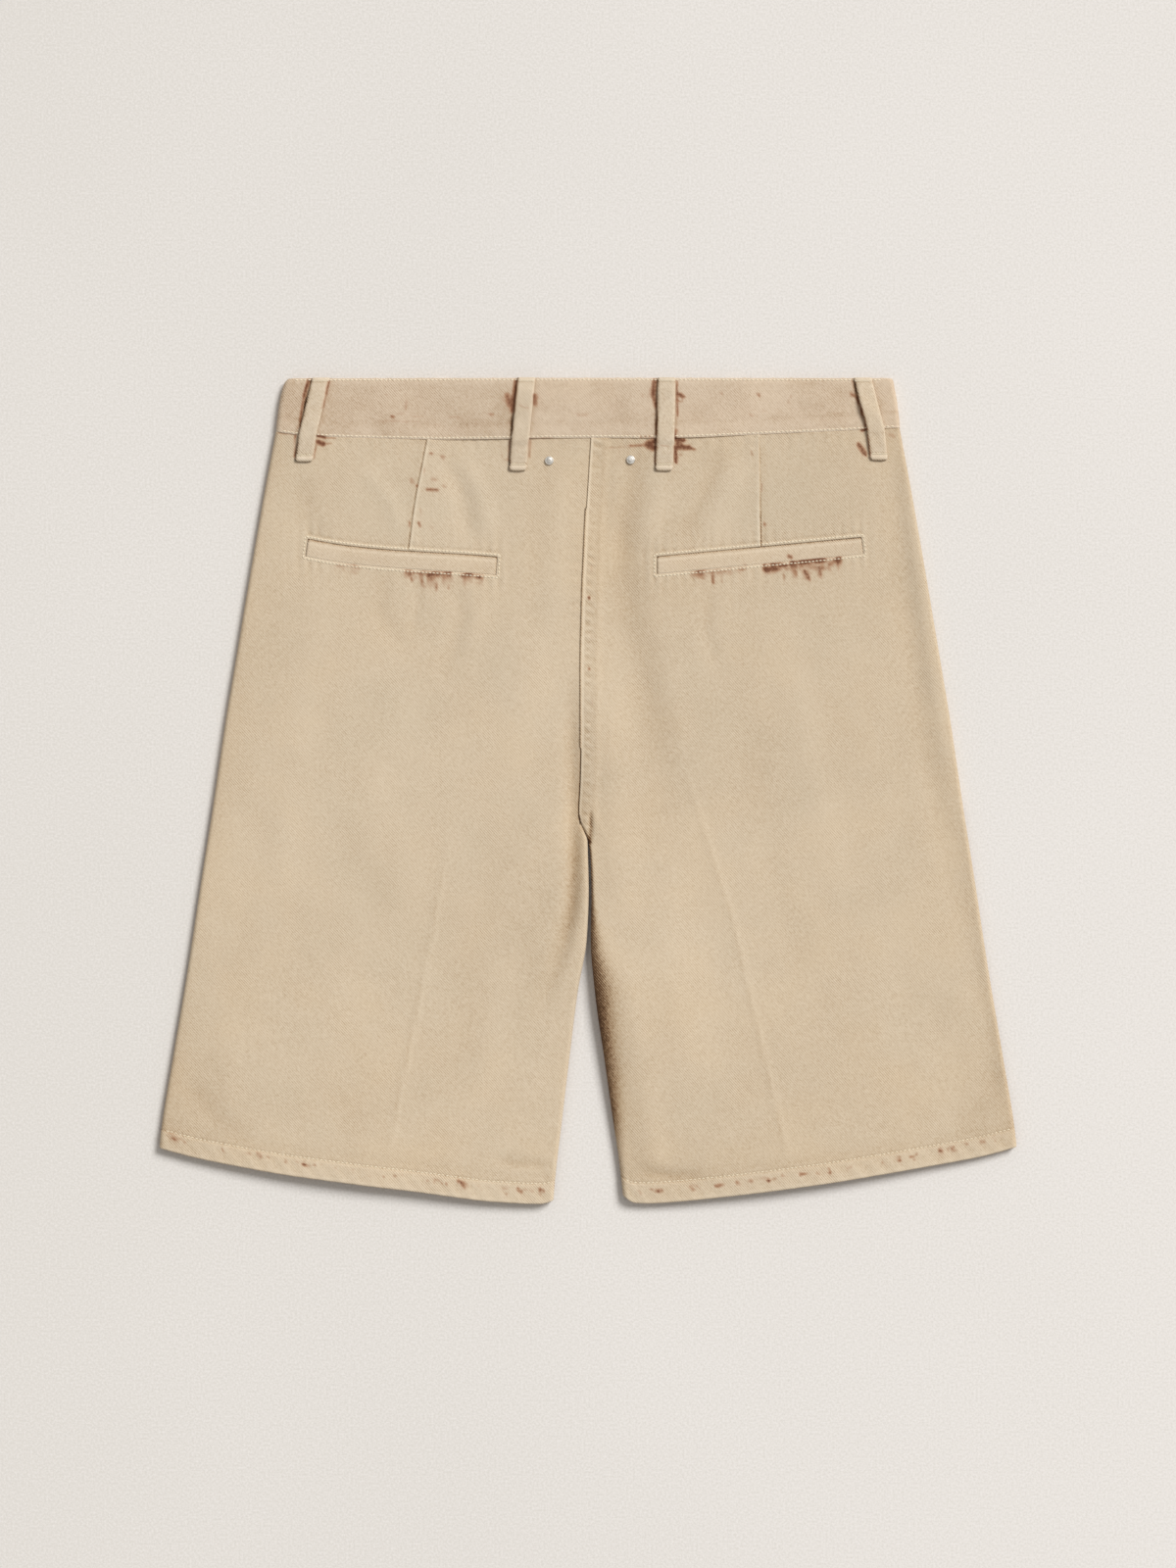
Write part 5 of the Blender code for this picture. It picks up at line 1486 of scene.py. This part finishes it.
def make_button(material, thread):
    """Four-hole button with a rim, on the front's outer side."""
    t = BUTTON_THICKNESS
    profile = [(0.60, t - 0.25), (0.72, t - 0.25), (0.78, t - 0.5), (0.86, t), (0.95, t - 0.08),
               (1.0, t - 0.4), (1.0, 0.6), (0.93, 0.15), (0.80, 0.0), (0.74, 0.0), (0.68, 0.28),
               (0.62, 0.30)]
    profile = [(share * BUTTON_RADIUS, height) for share, height in profile]
    middle_y = (WAIST_Y + float(waist_seam_y(BUTTON_X))) / 2.0
    mesh = turned("waist_button_piece", profile, 48, (BUTTON_X, middle_y, 0.05))
    button = add_piece("detail_waist_button", mesh, material, ["waist_button"])
    for i in range(4):
        a = math.radians(45.0 + 90.0 * i)
        x = BUTTON_X + BUTTON_HOLE_PLACE * math.cos(a)
        y = middle_y + BUTTON_HOLE_PLACE * math.sin(a)
        bpy.ops.mesh.primitive_cylinder_add(
            vertices=16, radius=BUTTON_HOLE * MM, depth=6.0 * MM, location=(x * MM, y * MM, 0.8 * MM))
        cut = button.modifiers.new("hole", "BOOLEAN")
        cut.operation = "DIFFERENCE"
        cut.object = bpy.context.active_object
    apply_cuts(button)
    stitches = []
    for side in (-1.4, 1.4):
        for lift in (-0.25, 0.25):
            a = (BUTTON_X - 1.4, middle_y + side + lift, 0.30)
            b = (BUTTON_X + 1.4, middle_y + side + lift, 0.30)
            stitches.append((a, b, DOWN))
    add_stitches("thread_button", stitches, thread, 0.28)


def apply_cuts(thing):
    """Bakes the cuts into the mesh and removes their cutters."""
    cutters = [cut.object for cut in thing.modifiers]
    bpy.context.view_layer.update()
    graph = bpy.context.evaluated_depsgraph_get()
    baked = bpy.data.meshes.new_from_object(thing.evaluated_get(graph))
    thing.modifiers.clear()
    thing.data = baked
    for item in cutters:
        bpy.data.objects.remove(item, do_unlink=True)


def make_stud(side, x, y, material):
    """A plain round rivet: a flat head with a raised rim and a low dome."""
    profile = [(0.30, 1.0), (0.58, 0.95), (0.66, 0.84), (0.70, 0.62), (0.76, 0.60), (0.84, 0.66),
               (0.93, 0.58), (0.99, 0.3), (1.0, 0.0)]
    profile = [(share * RIVET_RADIUS, height * RIVET_RISE) for share, height in profile]
    profile.append((0.97 * RIVET_RADIUS, -0.25))
    node = "rivet_" + side
    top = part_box(node)[1][2] / MM
    mesh = turned("rivet_piece_" + side, profile, 40, (x, y, top - RIVET_RISE))
    add_piece("detail_" + node, mesh, material, [node])


# ---------------------------------------------------------------- sewing

def add_stitches(name, stitches, material, radius=THREAD_RADIUS):
    """Stitches as one mesh: each from a to b with its ends sunk in the cloth."""
    # Rings of a stitch: share of its length, of its radius, and how high it lies.
    rings = ((-0.5, 0.35, -1.1), (-0.42, 0.85, -0.25), (0.0, 1.0, 0.1), (0.42, 0.85, -0.25),
             (0.5, 0.35, -1.1))
    sides = 6
    points = []
    faces = []
    for a, b, up in np.array(stitches):
        along = b - a
        side = np.cross(along, up)
        side /= max(np.linalg.norm(side), 1e-9)
        faces += tube_faces(len(points), len(rings), sides)
        for place, size, lift in rings:
            centre = (a + b) / 2.0 + along * place + up * radius * lift
            for k in range(sides):
                turn = 2.0 * math.pi * k / sides
                offset = side * math.cos(turn) + up * math.sin(turn)
                points.append(tuple((centre + offset * radius * size) * MM))
    add_piece(name, smooth_mesh(name, points, faces), material)


def sewn_point(names, x, y, above):
    """The point of the named surfaces where a thread enters, or None off them."""
    z = height_at(names, x, y, above)
    return None if z is None else (x, y, z if above else z + UNDER_SUNK)


def stitch_line(names, path, above=True, pitch=STITCH_PITCH, length=STITCH_LENGTH, seed=0):
    """Stitches laid along a path of x, y on the named surfaces."""
    path = np.array(path, dtype=float)
    steps = np.hypot(*np.diff(path, axis=0).T)
    travelled = np.concatenate([[0.0], np.cumsum(steps)])
    count = int(travelled[-1] // pitch)
    uneven = np.random.RandomState(500 + seed).uniform(-1.0, 1.0, (count, 3))
    stitches = []
    for i in range(count):
        middle = (i + 0.5) * travelled[-1] / count + 0.12 * uneven[i, 0]
        ends = []
        for place in (middle - length / 2.0, middle + length / 2.0):
            place = min(max(place, 0.0), travelled[-1])
            x = float(np.interp(place, travelled, path[:, 0])) + 0.05 * uneven[i, 1]
            y = float(np.interp(place, travelled, path[:, 1])) + 0.05 * uneven[i, 2]
            ends.append(sewn_point(names, x, y, above))
        if None not in ends and abs(ends[0][2] - ends[1][2]) < STITCH_DROP:
            stitches.append((*ends, UP if above else DOWN))
    return stitches


def hem_path(leg, shift, margin):
    us = np.linspace(margin, 1.0 - margin, 120)
    x, y = line_points(leg, us, HEM_BAND)
    return np.stack([x, y + shift], axis=1)


def sew_hems(thread):
    for leg in LEGS:
        stitches = stitch_line(["cloth_back_" + leg], hem_path(leg, 0.0, 0.012), seed=1)
        add_stitches("sewing_hem_back_" + leg, stitches, thread)
        stitches = stitch_line(["cloth_front_" + leg], hem_path(leg, 1.0, 0.02), False, seed=2)
        add_stitches("sewing_hem_front_" + leg, stitches, thread)


def sew_welts(thread):
    for leg in LEGS:
        start, end, _ = WELTS[leg]
        out_u = WELT_STITCH / float(section(leg, WELT_MIDDLE)["length"])
        us = np.linspace(start - out_u, end + out_u, 60)
        top = np.stack(line_points(leg, us, WELT_TOP), axis=1)
        top[:, 1] += WELT_STITCH
        foot = np.stack(line_points(leg, us, WELT_FOOT), axis=1)
        foot[:, 1] -= WELT_STITCH
        stitches = []
        paths = (top, foot, [top[0], foot[0]], [top[-1], foot[-1]])
        for seed, path in enumerate(paths, 10):
            stitches += stitch_line(["cloth_back_" + leg], path, pitch=2.6, length=2.0, seed=seed)
        add_stitches("sewing_welt_" + leg, stitches, thread, WELT_THREAD)


def sew_waistband(thread):
    xs = np.linspace(-209.0, 209.0, 160)
    top = np.stack([xs, 0.0 * xs + WAIST_Y - BAND_STITCH - 0.3], axis=1)
    xs = np.linspace(-218.0, 218.0, 160)
    foot = np.stack([xs, waist_seam_y(xs) + GAP / 2.0 + BAND_STITCH - 0.3], axis=1)
    sides = (("back", True, 20, WELT_THREAD), ("front", False, 22, THREAD_RADIUS))
    for side, above, seed, radius in sides:
        stitches = stitch_line(["cloth_waistband"], top, above, seed=seed)
        stitches += stitch_line(["cloth_waistband"], foot, above, seed=seed + 1)
        add_stitches("sewing_waistband_" + side, stitches, thread, radius)


def bar_tack(loop, x, y, above, seed):
    """A dense zigzag that holds a loop's end."""
    width = LOOP_WIDTH - 1.6
    uneven = np.random.RandomState(700 + seed).uniform(-0.15, 0.15, 40)
    stitches = []
    count = int(width / TACK_PITCH)
    for i in range(count):
        place = x - width / 2.0 + width * (i + 0.5) / count
        lean = 0.35 if i % 2 else -0.35
        ends = [sewn_point([loop], place + lean * side, y + side + uneven[i], above)
                for side in (-0.75, 0.75)]
        if None not in ends:
            stitches.append((*ends, UP if above else DOWN))
    return stitches


def sew_loops(thread):
    back = [(name, x_top - 0.1, WAIST_Y - 2.4, x_foot + 0.3, y_foot)
            for name, x_top, _, x_foot, y_foot in BACK_LOOPS]
    front = [(name, x, WAIST_Y - 3.0, x, y_foot) for name, x, y_foot in FRONT_LOOPS]
    for side, above, rows, seed in (("back", True, back, 0), ("front", False, front, 10)):
        stitches = []
        for number, (name, x_top, y_top, x_foot, y_foot) in enumerate(rows):
            loop = "cloth_belt_loop_" + name
            stitches += bar_tack(loop, x_top, y_top, above, seed + number)
            stitches += bar_tack(loop, x_foot, y_foot + LOOP_TACK, above, seed + number + 5)
        add_stitches("sewing_loops_" + side, stitches, thread, 0.2)


def sew_front(thread):
    """Fly and side pockets of the front."""
    front = ["cloth_front_left", "cloth_front_right"]
    curve = [(-34.0, 250.0), (-34.0, 135.0), (-31.0, 118.0), (-22.0, 106.0), (-6.0, 99.0)]
    stitches = stitch_line(front, curve, False, seed=30)
    inner = [(FLY_EDGE_X - 1.8, 250.0), (FLY_EDGE_X - 1.8, FLY_END_Y + 6.0)]
    stitches += stitch_line(front, inner, False, seed=31)
    add_stitches("sewing_fly", stitches, thread)
    for leg in LEGS:
        stitches = []
        notch = v_where(leg, "side_y", POCKET_END_Y + 4.0)
        for row, inset in enumerate((2.0, 8.0)):
            path = []
            for v in np.linspace(0.1, notch, 30):
                distance = float(pocket_line(section(leg, v)["side_y"])) + inset
                path.append(front_point(leg, distance, 1.0, v)[:2])
            stitches += stitch_line(front, path, False, seed=40 + row)
        add_stitches("sewing_pocket_" + leg, stitches, thread)


# ---------------------------------------------------------------- materials

def linear(colour):
    """An sRGB colour of 0 to 255 as the shaders take it."""
    values = []
    for value in colour:
        share = value / 255.0
        values.append(share / 12.92 if share <= 0.04045 else ((share + 0.055) / 1.055) ** 2.4)
    return (*values, 1.0)


def shifted(colour, *shift):
    """linear() of a colour made lighter or darker."""
    return linear([min(255, value + change) for value, change in zip(colour, shift)])


class Nodes:
    """Short names for the nodes that a material is made of."""

    def __init__(self, name):
        self.material = bpy.data.materials.new(name)
        self.material.use_nodes = True
        self.tree = self.material.node_tree
        self.place = self.add("ShaderNodeTexCoord").outputs["Object"]

    def feed(self, socket, value):
        """Sets a socket to a number or a colour, or links an output to it."""
        if isinstance(value, (int, float, tuple)):
            socket.default_value = value
        else:
            self.tree.links.new(value, socket)

    def add(self, kind, inputs=None, **settings):
        """A new node with its settings, and what its inputs are fed."""
        node = self.tree.nodes.new(kind)
        for key, value in settings.items():
            setattr(node, key, value)
        for key, value in (inputs or {}).items():
            self.feed(node.inputs[key], value)
        return node

    def shade(self, inputs):
        """Feeds the shader and returns the finished material."""
        shader = self.tree.nodes["Principled BSDF"]
        for key, value in inputs.items():
            self.feed(shader.inputs[key], value)
        return self.material

    def math(self, operation, a, b=0.0, clamp=False):
        node = self.add("ShaderNodeMath", {0: a, 1: b}, operation=operation, use_clamp=clamp)
        return node.outputs[0]

    def line(self, value, gain, start):
        """value * gain + start."""
        return self.math("ADD", start, self.math("MULTIPLY", value, gain))

    def past(self, value, start, gain):
        """How far value is past start, times gain, held within 0 to 1."""
        return self.math("MULTIPLY", self.math("SUBTRACT", value, start), gain, clamp=True)

    def blend(self, a, b, share):
        """A share of a and the rest of b."""
        first = self.math("MULTIPLY", a, share)
        return self.math("ADD", first, self.math("MULTIPLY", b, 1.0 - share))

    def spread(self, tone, noise, amount):
        """Tone with a noise of 0 to 1 added, centred."""
        shift = self.math("MULTIPLY", self.math("SUBTRACT", noise, 0.5), amount)
        return self.math("ADD", tone, shift)

    def noise(self, place, size, detail=2.0, roughness=0.5):
        """Noise from 0 to 1 with blotches of about size millimetres."""
        inputs = {"Scale": 1.0 / (size * MM), "Detail": detail, "Roughness": roughness,
                  "Vector": place}
        return self.add("ShaderNodeTexNoise", inputs).outputs["Fac"]

    def turned(self, place, angle):
        """Place turned by an angle in degrees about Z."""
        inputs = {"Rotation": (0.0, 0.0, math.radians(angle)), "Vector": place}
        return self.add("ShaderNodeMapping", inputs).outputs["Vector"]

    def stretched(self, place, angle, share):
        """Place turned about Z, then with its Y scaled."""
        inputs = {"Scale": (1.0, share, 1.0), "Vector": self.turned(place, angle)}
        return self.add("ShaderNodeMapping", inputs).outputs["Vector"]

    def waves(self, place, pitch, angle, wobble):
        """Lines of a pitch in millimetres, turned by an angle in degrees."""
        inputs = {"Scale": 2.0 * math.pi / (20.0 * pitch * MM), "Distortion": wobble,
                  "Detail": 1.0, "Detail Scale": 0.4, "Vector": self.turned(place, angle)}
        node = self.add("ShaderNodeTexWave", inputs, wave_type="BANDS", bands_direction="X")
        return node.outputs["Fac"]

    def attribute(self, name):
        return self.add("ShaderNodeAttribute", attribute_name=name).outputs["Fac"]

    def mix(self, share, a, b, blend="MIX"):
        inputs = {0: share, 6: a, 7: b}
        return self.add("ShaderNodeMix", inputs, data_type="RGBA", blend_type=blend).outputs[2]

    def ramp(self, value, stops):
        node = self.add("ShaderNodeValToRGB", {"Fac": value})
        elements = node.color_ramp.elements
        while len(elements) < len(stops):
            elements.new(0.5)
        for element, (position, colour) in zip(elements, stops):
            element.position = position
            element.color = colour
        return node.outputs["Color"]

    def bump(self, height, depth, strength=1.0, below=None):
        """Bump of a depth in millimetres, on top of another one."""
        inputs = {"Strength": strength, "Distance": depth * MM, "Height": height}
        if below is not None:
            inputs["Normal"] = below
        return self.add("ShaderNodeBump", inputs).outputs["Normal"]


def twill_material(name, sand, contrast=1.0):
    """Washed cotton twill: diagonal ribs, slubs, dye blotches and rust stains."""
    n = Nodes(name)
    ribs = n.waves(n.place, TWILL_PITCH, TWILL_LEAN, 0.5)
    yarns = n.waves(n.place, YARN_PITCH, YARN_LEAN, 1.0)
    slubs = n.noise(n.stretched(n.place, TWILL_LEAN, 0.55), 1.6, 1.0, 0.6)
    fuzz = n.noise(n.place, 0.95, 2.0, 0.7)
    blotch = n.noise(n.place, 60.0, 4.0, 0.55)
    patch = n.noise(n.place, 16.0, 3.0, 0.6)
    clear = n.noise(n.place, 34.0, 1.0, 0.5)

    shown = n.math("MULTIPLY", n.attribute("ribs"), contrast)
    shown = n.math("MULTIPLY", n.past(clear, 0.24, 2.0), shown)
    weave = n.blend(ribs, yarns, 0.7)
    # The tone attribute holds the cloth's own tone and the painted light and shade.
    tone = n.line(n.attribute("tone"), 0.42, 0.5)
    tone = n.spread(tone, blotch, 0.10)
    tone = n.spread(tone, patch, 0.07)
    tone = n.spread(tone, weave, n.math("MULTIPLY", shown, 0.48))
    tone = n.spread(tone, slubs, 0.24 * contrast)
    tone = n.math("ADD", n.spread(tone, fuzz, 0.46 * contrast), 0.0, clamp=True)
    colour = n.ramp(tone, [(share, shifted(sand, *shift)) for share, *shift in TWILL_STOPS])

    warm = n.math("MULTIPLY", n.attribute("warm"), 0.30)
    warm = n.math("ADD", n.noise(n.place, 60.0, 4.0, 0.6), warm)
    colour = n.mix(n.past(warm, EVEN_WARMTH, 3.0), colour, linear(WARM_TINT), "MULTIPLY")
    colour = n.mix(n.past(EVEN_WARMTH, warm, 3.0), colour, linear(COOL_TINT), "MULTIPLY")

    # Rust: a pale halo, a broken body and dark specks, all uneven.
    depth = n.attribute("rust")
    speck = n.noise(n.place, 1.5, 3.0, 0.75)
    smear = n.noise(n.stretched(n.place, 10.0, 0.6), 3.4, 3.0, 0.7)
    body = n.past(n.math("MULTIPLY", depth, n.line(smear, 1.5, 0.35)), 0.20, 2.1)
    dark = n.past(n.math("MULTIPLY", depth, n.line(speck, 1.7, 0.2)), 0.56, 2.6)
    colour = n.mix(n.math("MULTIPLY", depth, 0.28, clamp=True), colour, linear(RUST_PALE))
    colour = n.mix(n.math("MULTIPLY", body, 0.72), colour, linear(RUST_MIDDLE))
    colour = n.mix(n.math("MULTIPLY", dark, 0.9), colour, linear(RUST))

    normal = None
    for height, depth_mm, strength in ((patch, 0.12, 0.6), (weave, 0.09, 1.0), (slubs, 0.12, 0.8),
                                       (fuzz, 0.08, 0.8)):
        normal = n.bump(height, depth_mm, strength, normal)
    return n.shade({
        "Base Color": colour, "Roughness": n.line(fuzz, 0.14, 0.82), "Specular IOR Level": 0.2,
        "Sheen Weight": 0.08, "Sheen Roughness": 0.55, "Normal": normal})


def thread_material():
    n = Nodes("thread_cream")
    twist = n.waves(n.place, 0.32, 30.0, 0.5)
    share = n.blend(twist, n.noise(n.place, 9.0), 0.5)
    colour = n.ramp(share, [(0.2, shifted(THREAD, -26, -28, -30)), (0.75, linear(THREAD))])
    return n.shade({
        "Base Color": colour, "Roughness": n.line(twist, 0.15, 0.6), "Sheen Weight": 0.2,
        "Normal": n.bump(twist, 0.05)})


def horn_material():
    n = Nodes("button_horn")
    cloud = n.noise(n.place, 2.2, 3.0)
    share = n.blend(n.waves(n.place, 3.4, 25.0, 6.0), cloud, 0.6)
    stops = [(0.15, shifted(HORN, -44, -38, -26)), (0.5, linear(HORN)),
             (0.85, shifted(HORN, 50, 44, 34))]
    return n.shade({
        "Base Color": n.ramp(share, stops), "Roughness": n.line(cloud, 0.16, 0.28),
        "Coat Weight": 0.25, "Normal": n.bump(cloud, 0.04, 0.5)})


def nickel_material():
    n = Nodes("rivet_nickel")
    scratch = n.noise(n.place, 0.5, 3.0, 0.7)
    stops = [(0.3, shifted(NICKEL, -44, -46, -50)), (0.65, linear(NICKEL))]
    return n.shade({
        "Base Color": n.ramp(n.noise(n.place, 2.0), stops), "Metallic": 0.8,
        "Roughness": n.line(scratch, 0.2, 0.38), "Normal": n.bump(scratch, 0.02, 0.4)})


def floor_material():
    """Pale paper, a little lighter towards +X: painted light, more of it on the lamp's side."""
    n = Nodes("floor_paper")
    fine = n.noise(n.place, 1.6, 2.0, 0.7)
    sides = n.add("ShaderNodeSeparateXYZ", {"Vector": n.place})
    share = n.spread(n.line(sides.outputs["X"], 0.5, 0.5), fine, 2.6)
    share = n.spread(share, n.noise(n.place, 420.0), 0.5)
    stops = [(0.0, shifted(FLOOR, -8, -8, -9)), (1.0, shifted(FLOOR, 8, 8, 9))]
    return n.shade({
        "Base Color": n.ramp(share, stops), "Roughness": 0.9, "Specular IOR Level": 0.1,
        "Normal": n.bump(fine, 0.15, 0.5)})


# ---------------------------------------------------------------- stage

def make_stage():
    # A tenth of a millimetre down, so that the stitches underneath stay clear of it.
    bpy.ops.mesh.primitive_plane_add(size=14.0, location=(0.0, 0.0, -0.1 * MM))
    floor = bpy.context.active_object
    floor.name = "floor"
    floor.data.materials.append(floor_material())


def make_light():
    scene = bpy.context.scene
    world = bpy.data.worlds.new("room")
    world.use_nodes = True
    background = world.node_tree.nodes["Background"]
    background.inputs["Color"].default_value = (1.0, 0.965, 0.925, 1.0)
    background.inputs["Strength"].default_value = AMBIENT
    scene.world = world
    data = bpy.data.lights.new("key", "SUN")
    data.angle = math.radians(KEY_WIDTH)
    data.energy = KEY_POWER
    lamp = bpy.data.objects.new("key", data)
    way = Vector(KEY_DIRECTION).normalized()
    lamp.location = way
    lamp.rotation_euler = way.to_track_quat("Z", "Y").to_euler()
    scene.collection.objects.link(lamp)


def make_camera():
    scene = bpy.context.scene
    data = bpy.data.cameras.new("camera")
    data.sensor_width = FILM_WIDTH
    data.lens = FILM_WIDTH * CAMERA_DISTANCE / VIEW_HEIGHT
    data.clip_end = 50.0
    camera = bpy.data.objects.new("camera", data)
    camera.location = (0.0, VIEW_CENTRE_Y, CAMERA_DISTANCE)
    scene.collection.objects.link(camera)
    scene.camera = camera
    scene.view_settings.view_transform = "Standard"


# ---------------------------------------------------------------- all of it

def dress_shorts():
    panel = twill_material("twill_panel", SAND)
    band = twill_material("twill_band", BAND_SAND, 1.2)
    welt = twill_material("twill_welt", WELT_SAND, 1.2)
    strip = twill_material("twill_loop", LOOP_SAND, 1.3)
    thread = thread_material()
    for leg in LEGS:
        make_back(leg, panel)
        make_welt(leg, welt)
        make_front(leg, panel)
        make_facing(leg, panel)
    make_waistband(band)
    for number, row in enumerate(BACK_LOOPS):
        make_back_loop(number, *row, strip)
    for row in FRONT_LOOPS:
        make_front_loop(*row, strip)
    make_button(horn_material(), thread)
    metal = nickel_material()
    for side, x, y in STUDS:
        make_stud(side, x, y, metal)
    sew_hems(thread)
    sew_welts(thread)
    sew_waistband(thread)
    sew_loops(thread)
    sew_front(thread)


make_stage()
make_light()
make_camera()
dress_shorts()
